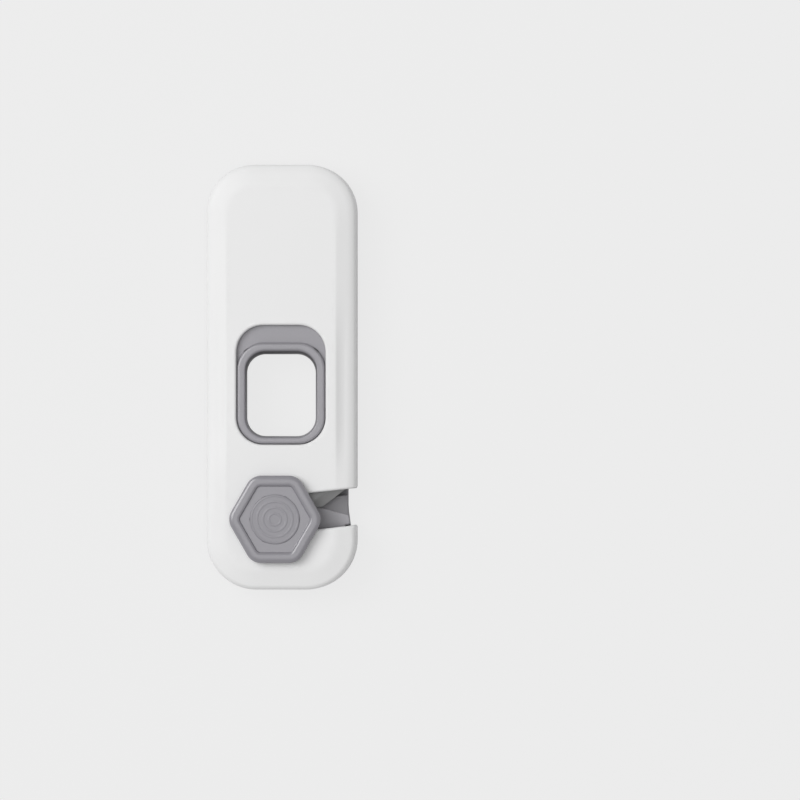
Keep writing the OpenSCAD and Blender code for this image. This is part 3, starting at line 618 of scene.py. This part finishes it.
def casing_wall(away, drop):
    """The casing's wall: its rows carried from the notch's upper edge round to its lower edge.

    The facet is soft round the pivot end, flat below it, hollow beside the window, low beyond it and
    soft again round the catch end. Between two of these stretches the rows turn from one set to the
    next by the share t^2 (3 - 2 t) along Y.
    """
    sizes, _, _ = lock()
    wide = sizes.shoulder_radius
    flat = casing_rows(sizes.facet_slope, sizes.facet_slope, SIDE_SOFT, wide)
    hollow = casing_rows(sizes.brim_slope, sizes.cove_slope, SIDE_SOFT, wide)
    low = casing_rows(sizes.brim_slope, sizes.brim_slope, SIDE_SOFT, wide)
    end = casing_rows(sizes.end_slope, sizes.end_slope, END_SOFT, sizes.edge_radius)
    brow = casing_rows(sizes.end_slope, sizes.end_slope, END_SOFT, wide)
    outside = np.arange(len(flat)) >= len(flat) // 2
    # Rows before and after each turn, and the Y in millimetres where it starts and ends
    turns = (
        (brow, flat, 53, 40),
        (flat, hollow, 28, 2),
        (hollow, low, -13, -32),
        (low, end, -36, -48),
    )

    def rows_at(y):
        """The rows at each Y of an array, as (columns, rows, 2)"""
        y = np.asarray(y)[..., None, None] / MM
        rows = brow
        for before, after, y0, y1 in turns:
            rows = rows + (after - before) * ease(np.clip((y0 - y) / (y0 - y1), 0, 1))
        return rows

    def straight(sign, y_from, y_to, shares):
        """Columns along a straight side, from the Y of each row at one end to those at the other"""
        y = y_from + (y_to - y_from) * shares[:, None]
        rows = rows_at(y.mean(axis=1))
        return np.stack([sign * (HALF_W - rows[..., 0]), y, rows[..., 1]], axis=-1)

    def corner(x, y, radius, start):
        """Columns round a corner: its middle + (radius - inset) * (cos a, sin a)"""
        a = evenly(start, start + math.pi / 2, sizes.arc_steps)
        rows = rows_at(y + radius * np.sin(a))
        r = radius - rows[..., 0]
        return np.stack([x + r * np.cos(a)[:, None], y + r * np.sin(a)[:, None], rows[..., 1]], axis=-1)

    def mouth(way):
        """Columns of the notch's rounded lip, sunk square to the wall's surface, and the cut's Y"""
        rows = rows_at(NOTCH_Y + way * NOTCH_W / 2)
        slopes = np.gradient(rows, axis=0)
        length = np.linalg.norm(slopes, axis=1)
        length[length == 0] = 1
        lean_in, lean_z = slopes[:, 1] / length, -slopes[:, 0] / length
        x = HALF_W - rows[:, 0]
        edge = notch_side(way, x)
        sink = np.where(outside, drop[:, None], 0)
        return np.stack([x - sink * lean_in, edge + way * away[:, None],
                         rows[:, 1] + sink * lean_z], axis=-1), edge

    r1, r0 = sizes.pivot_end_radius, sizes.catch_end_radius
    every = np.ones(len(flat))
    upper, upper_edge = mouth(1)
    lower, _ = mouth(-1)
    columns = np.concatenate([
        upper,
        straight(1, upper_edge + away[-1], every * (HALF_L - r1), evenly(0.04, 0.96, 25)),
        corner(HALF_W - r1, HALF_L - r1, r1, 0),
        corner(r1 - HALF_W, HALF_L - r1, r1, math.pi / 2),
        straight(-1, every * (HALF_L - r1), every * (r0 - HALF_L), evenly(0.03, 0.97, 33)),
        corner(r0 - HALF_W, r0 - HALF_L, r0, math.pi),
        corner(HALF_W - r0, r0 - HALF_L, r0, 1.5 * math.pi),
        lower[::-1]])
    return columns.swapaxes(0, 1)


def notch_path(hold):
    """Plan of the notch inside the crown, from the lower side of its mouth round the seat to the upper.

    Points and unit normals into the material; the seat is an arc about the post.
    """
    steps = 8
    mouth_x, low, high = HALF_W - hold, (0, -SEAT_R), (0, SEAT_R)
    corners = [(mouth_x, notch_side(-1, mouth_x)), (mouth_x, notch_side(1, mouth_x)),
               (THROAT_X, notch_side(1, THROAT_X)), POST + high, POST + (-SEAT_R, SEAT_R),
               POST + (-SEAT_R, -SEAT_R), POST + low, (THROAT_X, notch_side(-1, THROAT_X))]
    seat_r = SEAT_R * 0.97
    radii = [0, 0, THROAT_R, THROAT_R / 10, seat_r, seat_r, THROAT_R / 10, THROAT_R]
    points, normals = rounded_path(corners, radii, steps)
    inside = slice(2 * (steps + 1), None)
    points = np.concatenate([corners[:1], points[inside][::-1], corners[1:2]])
    normals = np.concatenate([[(0, -1)], normals[inside][::-1], [(0, 1)]])
    return points, normals


class LOCK_OT_casing(bpy.types.Operator):
    """White casing: its wall carried round the outline, a flat crown, and the rounded window and notch"""

    bl_idname = "lock.casing"
    bl_label = "Casing"

    def execute(self, context):
        sizes, _, _ = lock()
        away, drop = lip_rows(sizes.lip_radius)
        wall = casing_wall(away, drop)
        ceiling_z = CROWN_Z - sizes.wall
        parts = [skin(wall, closed=False), cap(wall[:, 0]), cap(wall[:, -1])]

        path, normals = notch_path(sizes.crease + CROWN_HOLD)
        notch = [layer((path, normals), -e, CROWN_Z - d) for e, d in zip(away, drop)]
        notch_foot = layer((path, normals), 0, ceiling_z)
        parts.append(skin([notch_foot] + notch, closed=False))

        window = box_path((0, WINDOW_Y), sizes.window_width, sizes.window_length, sizes.window_radius,
                          sizes.arc_steps)
        rim = [layer(window, -e, CROWN_Z - d) for e, d in zip(away, drop)]
        foot = layer(window, 0, ceiling_z)
        parts.append(skin([foot] + rim))

        k = len(away) - 1
        crown = np.concatenate([wall[-1, k:-k], notch[-1][1:-1]])
        ceiling = np.concatenate([wall[0], notch_foot[1:-1]])
        parts += [face_between(crown, rim[-1]), face_between(ceiling, foot)]
        make("casing_skin", parts, finish("casing"), "arm", ["front_shell"], 40)
        return {"FINISHED"}


# Finger ring

class LOCK_OT_finger_ring(bpy.types.Operator):
    """Grey finger ring on its sliding plate, with the sloped edge that the fingertip pushes.

    The push slope falls from the ring's top to the hole by a quarter turn of a: it runs in by
    slope_run * (1 - cos a), more at the pivot end, and drops by its height * (1 - sin a).
    """

    bl_idname = "lock.finger_ring"
    bl_label = "Finger Ring"

    def execute(self, context):
        sizes, _, _ = lock()
        (x0, y0, block_z), (x1, y1, top) = SLIDER
        edge = sizes.moulded_edge
        ring_l = sizes.window_length - RING_TRAVEL - 2 * RING_GAP
        ring_y = WINDOW_Y - sizes.window_length / 2 + RING_GAP + ring_l / 2
        hole_w, hole_l, hole_y = 20.6 * MM, 24.55 * MM, ring_y - 0.5 * MM
        plate_top = top - 1.7 * MM
        plate_low = plate_top - 2.0 * MM
        slope_run, slope_push, slope_foot = 0.75 * MM, 1.0 * MM, plate_low + 0.5 * MM
        bevel, bevel_stretch, foot_r = 0.55 * MM, 1.4, 0.4 * MM

        # Middle's y, width, length and corner radius
        ring = (ring_y, sizes.window_width - 2 * RING_GAP, ring_l, sizes.window_radius - RING_GAP)
        hole = (hole_y, hole_w, hole_l, 5.6 * MM)
        plate = ((y0 + y1) / 2, x1 - x0, y1 - y0, 2.0 * MM)

        def at(box, grow, z, push=0):
            y, width, length, radius = box
            path = box_path((0, y + push / 2), width + 2 * grow, length + push + 2 * grow, radius + grow, 14)
            return layer(path, 0, z)

        rings = [at(hole, 0.3 * MM, plate_low), at(hole, 0.05 * MM, plate_low + 0.25 * MM)]
        for a in evenly(0, math.pi / 2, 9):
            fall, rise = 1 - math.cos(a), 1 - math.sin(a)
            rings.append(at(hole, slope_run * fall, top - (top - slope_foot) * rise, slope_push * fall))
        rings += [at(ring, -bevel_stretch * i, top - d) for i, d in quarter(bevel, 7)[::-1]]
        rings += [at(ring, i, plate_top + d) for i, d in quarter(foot_r)]
        rings += [at(plate, -edge, plate_top), at(plate, 0, plate_top - edge),
                  at(plate, 0, plate_low + edge), at(plate, -edge, plate_low)]
        parts = [skin(rings, looped=True)]

        block_w, block_l = 4 * MM, 3 * MM
        for side in (-1, 1):
            block = box_path((side * (x1 - block_w / 2), y1 - block_l / 2), block_w, block_l, 0.3 * MM, 4)
            parts += slab(block, block_z, plate_low + OVERLAP, 0.2 * MM)

        def painted_slope_shade(places):
            """Painted shade on the push slope: full at the slope's pivot end, a fifth of that at its catch
            end, none on top
            """
            x, y, z = places.T
            side = 0.8 * MM
            inside = np.abs(x) < hole_w / 2 + side
            inside &= (y > hole_y - hole_l / 2 - side) & (y < hole_y + hole_l / 2 + 1.7 * MM)
            along = np.clip((y + 9 * MM) / (12 * MM), 0.2, 1)
            return inside * along * np.clip((top - 0.02 * MM - z) / (0.5 * MM), 0, 1)

        def bevels(places):
            return np.interp(places[:, 2], top - np.array([0.6, 0.4, 0.02, 0]) * MM, [0, 1, 1, 0])

        make("finger_ring", parts, finish("ring"), "slider", ["ring_slider"],
             painted_shade=painted_slope_shade, shine=bevels)
        return {"FINISHED"}


# Bolt and catch

class LOCK_OT_bolt(bpy.types.Operator):
    """Hooked bolt whose nose has a sloping edge for the post to push up"""

    bl_idname = "lock.bolt"
    bl_label = "Bolt"

    def execute(self, context):
        (x0, hook_y, z0), (x1, y1, z1) = BOLT
        edge = 0.25 * MM
        hook_x = POST[0] + 4.8 * MM
        knee = POST + np.array([13.7, 3.7]) * MM
        nose = np.array([x1, knee[1] + 5.6 * MM])
        stem_x, stem_y = 12 * MM, POST[1] + 8.1 * MM
        nose_back = nose[1] + 1.6 * MM
        main = [(hook_x, knee[1]), knee, nose, (x1, nose_back), (stem_x, nose_back),
                (stem_x, y1), (x0, y1), (x0, stem_y), (hook_x, stem_y)]
        radii = np.array([0.4, 1.2, 0.6, 0.4, 0.5, 0.6, 0.6, 0.6, 0.5]) * MM
        body = slab(rounded_path(main, radii, 8), z0, z1, edge)

        # The bevel rises by bevel_h over bevel_w, from the line of knee and nose inwards to the top
        bevel_h, bevel_w = 2.4 * MM, 3.1 * MM
        along = (nose - knee) / np.linalg.norm(nose - knee)
        inward = np.array([-along[1], along[0]])
        parts = cut_off(body, (*knee, z1 - bevel_h), (*(-inward * bevel_h), bevel_w))

        hook_back = knee[1] + 1.7 * MM
        hook = [(hook_x, hook_y), (hook_x + 2.4 * MM, hook_y), (hook_x + 7.2 * MM, knee[1]),
                (hook_x + 6.8 * MM, hook_back), (hook_x, hook_back)]
        radii = np.array([0.5, 0.8, 0.6, 0.4, 0.4]) * MM
        parts += slab(rounded_path(hook, radii, 6), z0 + 0.02 * MM, z1 - 2.2 * MM, edge)
        make("bolt_nose", parts, finish("bolt"), "slider", ["latch_bolt"], 25)
        return {"FINISHED"}


def rounded_rows(z0, z1, edge, inset=0):
    """Rows of a plate that stands on a plain lower edge and has its upper edge rounded"""
    high = [(inset + i, z1 - d) for i, d in quarter(edge, 5)]
    return [(inset + edge, z0), (inset, z0)] + high + [(inset + edge + 0.08 * MM, z1)]


def catch_outline(inset):
    """Outline of the catch's plate, mirrored in the arm's middle line, with normals square to it.

    Each side has two corner arcs and a soft flare between their widths, w0 - (w0 - w1) * (3 t^2 - 2 t^3).
    """
    (_, y0, _), (w0, y1, _) = BASE
    w0, w1 = w0 - inset, 19.5 * MM - inset
    r0, r1 = 13.7 * MM - inset, 4 * MM - inset
    y0, y1 = y0 + inset, y1 - inset
    a = evenly(0, math.pi / 2, 19)
    t = evenly(0, 1, 11)[1:]
    side = np.concatenate([
        np.column_stack([w0 - r0 + r0 * np.sin(a), y0 + r0 - r0 * np.cos(a)]),
        np.column_stack([w0 - (w0 - w1) * ease(t), y0 + r0 + FLARE_L * t]),
        np.column_stack([w1 - r1 + r1 * np.cos(a), y1 - r1 + r1 * np.sin(a)])])
    points = np.concatenate([side, side[::-1] * (-1, 1)])
    along = np.roll(points, -1, axis=0) - np.roll(points, 1, axis=0)
    along /= np.linalg.norm(along, axis=1)[:, None]
    return points, np.column_stack([along[:, 1], -along[:, 0]])


class LOCK_OT_catch(bpy.types.Operator):
    """Catch: the stepped base with its spigot, and the post's sleeve"""

    bl_idname = "lock.catch"
    bl_label = "Catch"

    def execute(self, context):
        (_, _, z0), (_, _, spigot_z) = BASE
        plate_z = 3.2 * MM
        parts = solid(catch_outline(0), rounded_rows(z0, plate_z, 0.45 * MM))

        # Two steps in the notch: the lower one follows the notch, the upper one ends at the split
        step_z, recess = 8.3 * MM, 1.0 * MM
        x0, x1, neck_x = 8.4 * MM, 20.1 * MM, 18.7 * MM
        far_gap, near_gap = 0.2 * MM, 1.8 * MM
        split_slope = math.tan(math.radians(15))
        split_y, split_end = (-38.1 * MM - (x - 8 * MM) * split_slope for x in (x0, x1))
        far = [(x0, notch_side(-1, x0) - far_gap), (neck_x, notch_side(-1, neck_x) - far_gap),
               (neck_x + 0.4 * MM, -44.35 * MM), (x1 + 0.2 * MM, -44.35 * MM)]
        low_step = far + [(x1 - 0.35 * MM, split_end + 1 * MM),
                          (x1 - 0.7 * MM, notch_side(1, x1) - near_gap), (x0, notch_side(1, x0) - near_gap)]
        high_step = far + [(x1 - 0.28 * MM, split_end), (x0, split_y)]
        radii = np.array([0.5, 0.5, 0.1, 0.5, 2, 0.5, 0.5]) * MM
        foot_z = plate_z - 0.3 * MM
        parts += solid(rounded_path(low_step, radii, 6), rounded_rows(foot_z, step_z - recess, 0.3 * MM))
        radii = np.array([0.5, 0.5, 0.1, 0.5, 0.5, 0.5]) * MM
        parts += solid(rounded_path(high_step, radii, 6),
                       rounded_rows(foot_z, step_z, 0.35 * MM, 0.02 * MM))

        spigot_r, bore_r, bore_z, spigot_foot = 2.15 * MM, 1.25 * MM, spigot_z - 10 * MM, 2.5 * MM
        parts.append(skin(lathe([(0, spigot_foot), (spigot_r, spigot_foot), (spigot_r, spigot_z),
                                 (bore_r, spigot_z), (bore_r, bore_z), (0, bore_z)], 48)))
        # Painted shade: all of the step below half the recess's depth, the lower step's top among it, gets a
        # darker colour
        make("catch_step", parts, finish("step"), "catch", ["catch_base"],
             painted_shade=lambda places: places[:, 2] < step_z - recess / 2)

        z0, z1 = SLEEVE[0][2], SLEEVE[1][2]
        outer, inner, edge = 3.2 * MM, 2.2 * MM, 0.25 * MM
        profile = [(outer - i, z0 + d) for i, d in quarter(edge)[::-1]]
        profile += [(outer - i, z1 - d) for i, d in quarter(edge)] + [(inner, z1), (inner, z0)]
        make("post_tube", [skin(lathe(profile, 64), looped=True)], finish("base"), "catch",
             ["post_sleeve"])
        return {"FINISHED"}


class LOCK_OT_pads(bpy.types.Operator):
    """Foam pads under both bases, with soft cut edges"""

    bl_idname = "lock.pads"
    bl_label = "Pads"

    def execute(self, context):
        edge, hollow, hold = 0.1 * MM, 0.08 * MM, 0.6 * MM
        for name, node, body in (("catch_foam", "catch_pad", "catch"), ("pivot_foam", "pivot_pad", "mount")):
            (x0, y0, z0), (x1, y1, z1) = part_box(node)
            if body == "mount":
                path = rounded_path(box_corners(x0, y0, x1, y1), (x1 - x0) / 2 * 0.9999, 24)
            else:
                path = catch_outline(1 * MM)
            rows = [(hold, z0), (edge, z0), (0, z0 + edge), (hollow, (z0 + z1) / 2),
                    (0, z1 - edge), (edge, z1), (hold, z1)]
            make(name, solid(path, rows), finish("foam"), body, [node])
        return {"FINISHED"}


# Hexagonal head

def hex_path():
    """Rounded hexagon about the post, flat at the ends of the arm"""
    half_l, half_w = (HEAD[1][1] - HEAD[0][1]) / 2, 12.5 * MM
    tip = half_w / math.cos(math.radians(30))
    side = tip - half_l * math.tan(math.radians(30))
    corners = np.array([(tip, 0), (side, half_l), (-side, half_l), (-tip, 0), (-side, -half_l),
                        (side, -half_l)]) + POST
    return rounded_path(corners, 4.8 * MM, 12)


class LOCK_OT_head(bpy.types.Operator):
    """Hexagonal head, with a bevelled rim round a recess, and the ringed disc in its pocket.

    The disc's rings rise by ripple_h * (1.6 cos(2 pi r / pitch) - 0.35), held between 0 and ripple_h.
    """

    bl_idname = "lock.head"
    bl_label = "Head"

    def execute(self, context):
        z0, z1 = HEAD[0][2], HEAD[1][2]
        floor_z = z1 - 0.8 * MM
        web_z = z0 + 1.1 * MM
        pocket_z = web_z + 1.1 * MM
        # (inset, height) in millimetres, from the side up over the rim and down to the recess's floor
        foot = ((0.4, 0), (0.12, 0.12), (0, 0.4))
        rim = ((0, -0.8), (0.05, -0.64), (0.15, -0.48), (0.42, -0.21), (0.5, -0.17), (0.88, -0.04),
               (1, 0), (2.45, 0), (2.52, -0.02), (2.9, -0.15), (2.98, -0.21))
        recess = ((3.14, 0.12), (3.2, 0.03), (3.28, 0), (3.5, 0))
        path = hex_path()
        rings = [layer(path, inset * MM, z + height * MM)
                 for rows, z in ((foot, z0), (rim, z1), (recess, floor_z)) for inset, height in rows]
        out = rings[-1][:, :2] - POST
        out /= np.linalg.norm(out, axis=1)[:, None]
        pocket, fillet, screw_well, shank = 7.55 * MM, 0.05 * MM, 4.2 * MM, 2.05 * MM
        for radius, z in ((pocket + fillet, floor_z), (pocket, floor_z - fillet), (pocket, pocket_z),
                          (screw_well, pocket_z), (screw_well, web_z), (shank, web_z), (shank, z0)):
            rings.append(np.column_stack([POST + out * radius, np.full(len(out), z)]))

        def bevels(places):
            heights = z1 - np.array([0.85, 0.7, 0.02, 0]) * MM
            return np.interp(places[:, 2], heights, [0, 1, 1, 0]) * (places[:, 2] > floor_z + 0.01 * MM)

        make("hexagon_head", [skin(rings, looped=True)], finish("head"), "head", ["hex_head"],
             28, shine=bevels)

        (x0, _, z0), (x1, _, z1) = DISC
        radius, ripple_h, pitch, plain_r, bend_r = (x1 - x0) / 2, 0.08 * MM, 1.775 * MM, 0.9 * MM, 0.35 * MM
        face_z, edge = z1 - ripple_h, 0.1 * MM
        r = evenly(0, radius - bend_r - 0.2 * MM, 89)
        ripple = np.clip(1.6 * np.cos(2 * math.pi * r / pitch) - 0.35, 0, 1) * ripple_h
        ripple[r < plain_r] = 0
        bend = [(radius - i, face_z - d) for i, d in quarter(bend_r, 5)[::-1]]
        profile = np.concatenate([np.column_stack([r, face_z + ripple]), bend,
                                  [(radius, z0 + edge), (radius - edge, z0), (0, z0)]])
        make("ringed_disc", [skin(lathe(profile, 120))], finish("disc"), "head", ["head_disc"],
             50)
        return {"FINISHED"}


# Springs, screws and hidden pieces

class LOCK_OT_springs(bpy.types.Operator):
    """Return springs.

    Round wire along a helix, middle + coil * (cos a, sin a); along its length the pitch is even between
    two closed ends.
    """

    bl_idname = "lock.springs"
    bl_label = "Springs"

    def execute(self, context):
        wire, turns, steps, closed = 0.35 * MM, 6, 28, 0.06
        for name, node, hand in (("left_spring", "spring_left", -1), ("right_spring", "spring_right", 1)):
            (x0, y0, z0), (x1, y1, z1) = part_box(node)
            x, z, coil = (x0 + x1) / 2, (z0 + z1) / 2, (z1 - z0) / 2 - wire
            t = evenly(0, 1, turns * steps)
            pace = np.clip((t - closed) / (1 - 2 * closed), 0, 1)
            a = hand * 2 * math.pi * turns * t
            out = np.column_stack([np.cos(a), np.zeros_like(a), np.sin(a)])
            line = (x, 0, z) + coil * out
            line[:, 1] = y0 + wire + (y1 - y0 - 2 * wire) * pace
            along = np.gradient(line, axis=0)
            along /= np.linalg.norm(along, axis=1)[:, None]
            up = np.cross(along, out)
            b = np.linspace(0, 2 * math.pi, 12, endpoint=False)[:, None]
            rings = line[:, None] + wire * (np.cos(b) * out[:, None] + np.sin(b) * up[:, None])
            parts = [skin(rings), cap(rings[0]), cap(rings[-1])]
            spring = make(name, parts, finish("wire"), "arm", [node], 60)
            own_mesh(spring)
        return {"FINISHED"}


class LOCK_OT_hidden_parts(bpy.types.Operator):
    """Finishes for the chassis, bases, bush, washers, rods and screws that keep their own solids"""

    bl_idname = "lock.hidden_parts"
    bl_label = "Hidden Parts"

    def execute(self, context):
        for kind, names in HIDDEN_PARTS.items():
            for name in names:
                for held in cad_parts[name].material_slots:
                    held.material = finish(kind)
        return {"FINISHED"}


# Stage

def pale_floor(stage):
    """Floor seen at an even grey, with a share of real light for the lock's shadow"""
    floor = bpy.data.materials.new("pale_floor")
    floor.use_nodes = True
    nodes, links = floor.node_tree.nodes, floor.node_tree.links
    nodes.clear()
    out = nodes.new("ShaderNodeOutputMaterial")
    seen = nodes.new("ShaderNodeEmission")
    seen.inputs["Color"].default_value = (stage.floor_colour,) * 3 + (1,)
    lit = nodes.new("ShaderNodeBsdfDiffuse")
    lit.inputs["Color"].default_value = (FLOOR_BOUNCE,) * 3 + (1,)
    share = nodes.new("ShaderNodeMixShader")
    share.inputs["Fac"].default_value = stage.shadow_share
    rays = nodes.new("ShaderNodeMixShader")
    light_path = nodes.new("ShaderNodeLightPath")
    links.new(seen.outputs[0], share.inputs[1])
    links.new(lit.outputs[0], share.inputs[2])
    links.new(light_path.outputs["Is Camera Ray"], rays.inputs["Fac"])
    links.new(lit.outputs[0], rays.inputs[1])
    links.new(share.outputs[0], rays.inputs[2])
    links.new(rays.outputs[0], out.inputs["Surface"])
    return floor


class LOCK_OT_stage(bpy.types.Operator):
    """Pale floor, soft lamp at the upper left, even sky, and the long-lens camera above the lock"""

    bl_idname = "lock.stage"
    bl_label = "Stage"

    def execute(self, context):
        _, _, stage = lock()
        scene = bpy.context.scene
        scene.view_settings.view_transform = "Standard"

        half, z = FLOOR_W / 2, -FLOOR_GAP
        mesh = bpy.data.meshes.new("floor")
        mesh.from_pydata([(x, y, z) for x, y in box_corners(-half, -half, half, half)], [], [(0, 1, 2, 3)])
        mesh.materials.append(pale_floor(stage))
        ground = in_scene("floor", mesh)

        sky = bpy.data.worlds.new("studio")
        sky.use_nodes = True
        glow = sky.node_tree.nodes["Background"].inputs
        glow["Color"].default_value = (1, 1, 1, 1)
        glow["Strength"].default_value = stage.sky_strength
        scene.world = sky

        # Place and width in metres
        for name, place, width, power in (("key", (-0.775, 0.365, 1.22), 0.9, stage.key_power),
                                          ("top", (0, 0, 4.2), 2.0, stage.top_power)):
            lamp = bpy.data.lights.new(name, "AREA")
            lamp.size = width
            lamp.energy = power
            light = in_scene(name, lamp)
            light.location = place
            light.rotation_euler = (-light.location).to_track_quat("-Z", "Y").to_euler()

        lens = bpy.data.cameras.new("camera")
        lens.sensor_width = 36
        lens.lens = lens.sensor_width * stage.camera_distance / (PICTURE_PX * PIXEL)
        lens.clip_end = 20
        camera = in_scene("camera", lens)
        lean = stage.camera_lean
        aim_x = (PICTURE_PX / 2 - ORIGIN_PX[0]) * PIXEL + AIM_SHIFT
        aim_y = (ORIGIN_PX[1] - PICTURE_PX / 2) * PIXEL
        target = Vector((aim_x, aim_y, AIM_Z))
        camera.location = target + stage.camera_distance * Vector((math.sin(lean), 0, math.cos(lean)))
        camera.rotation_euler = (0, lean, 0)
        scene.camera = camera
        return {"FINISHED"}


class LOCK_PT_panel(bpy.types.Panel):
    """Sidebar panel that lists the lock's pieces and settings"""

    bl_idname = "LOCK_PT_panel"
    bl_label = "Safety Lock"
    bl_space_type = "VIEW_3D"
    bl_region_type = "UI"
    bl_category = "Safety Lock"

    def draw(self, context):
        layout = self.layout
        for piece in PIECES:
            layout.operator(piece.bl_idname)
        for settings in lock():
            box = layout.box()
            for name in settings.__annotations__:
                box.prop(settings, name)


PIECES = (
    LOCK_OT_casing,
    LOCK_OT_finger_ring,
    LOCK_OT_bolt,
    LOCK_OT_catch,
    LOCK_OT_pads,
    LOCK_OT_head,
    LOCK_OT_springs,
    LOCK_OT_hidden_parts,
    LOCK_OT_stage,
)
CLASSES = (LockSizes, LockFinishes, LockStage, *PIECES, LOCK_PT_panel)


def register():
    for cls in CLASSES:
        bpy.utils.register_class(cls)
    bpy.types.Scene.lock_sizes = PointerProperty(type=LockSizes)
    bpy.types.Scene.lock_finishes = PointerProperty(type=LockFinishes)
    bpy.types.Scene.lock_stage = PointerProperty(type=LockStage)


def unregister():
    del bpy.types.Scene.lock_stage
    del bpy.types.Scene.lock_finishes
    del bpy.types.Scene.lock_sizes
    for cls in reversed(CLASSES):
        bpy.utils.unregister_class(cls)


def main():
    register()
    for piece in PIECES:
        group, name = piece.bl_idname.split(".")
        getattr(getattr(bpy.ops, group), name)()
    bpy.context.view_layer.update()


if __name__ == "__main__":
    main()
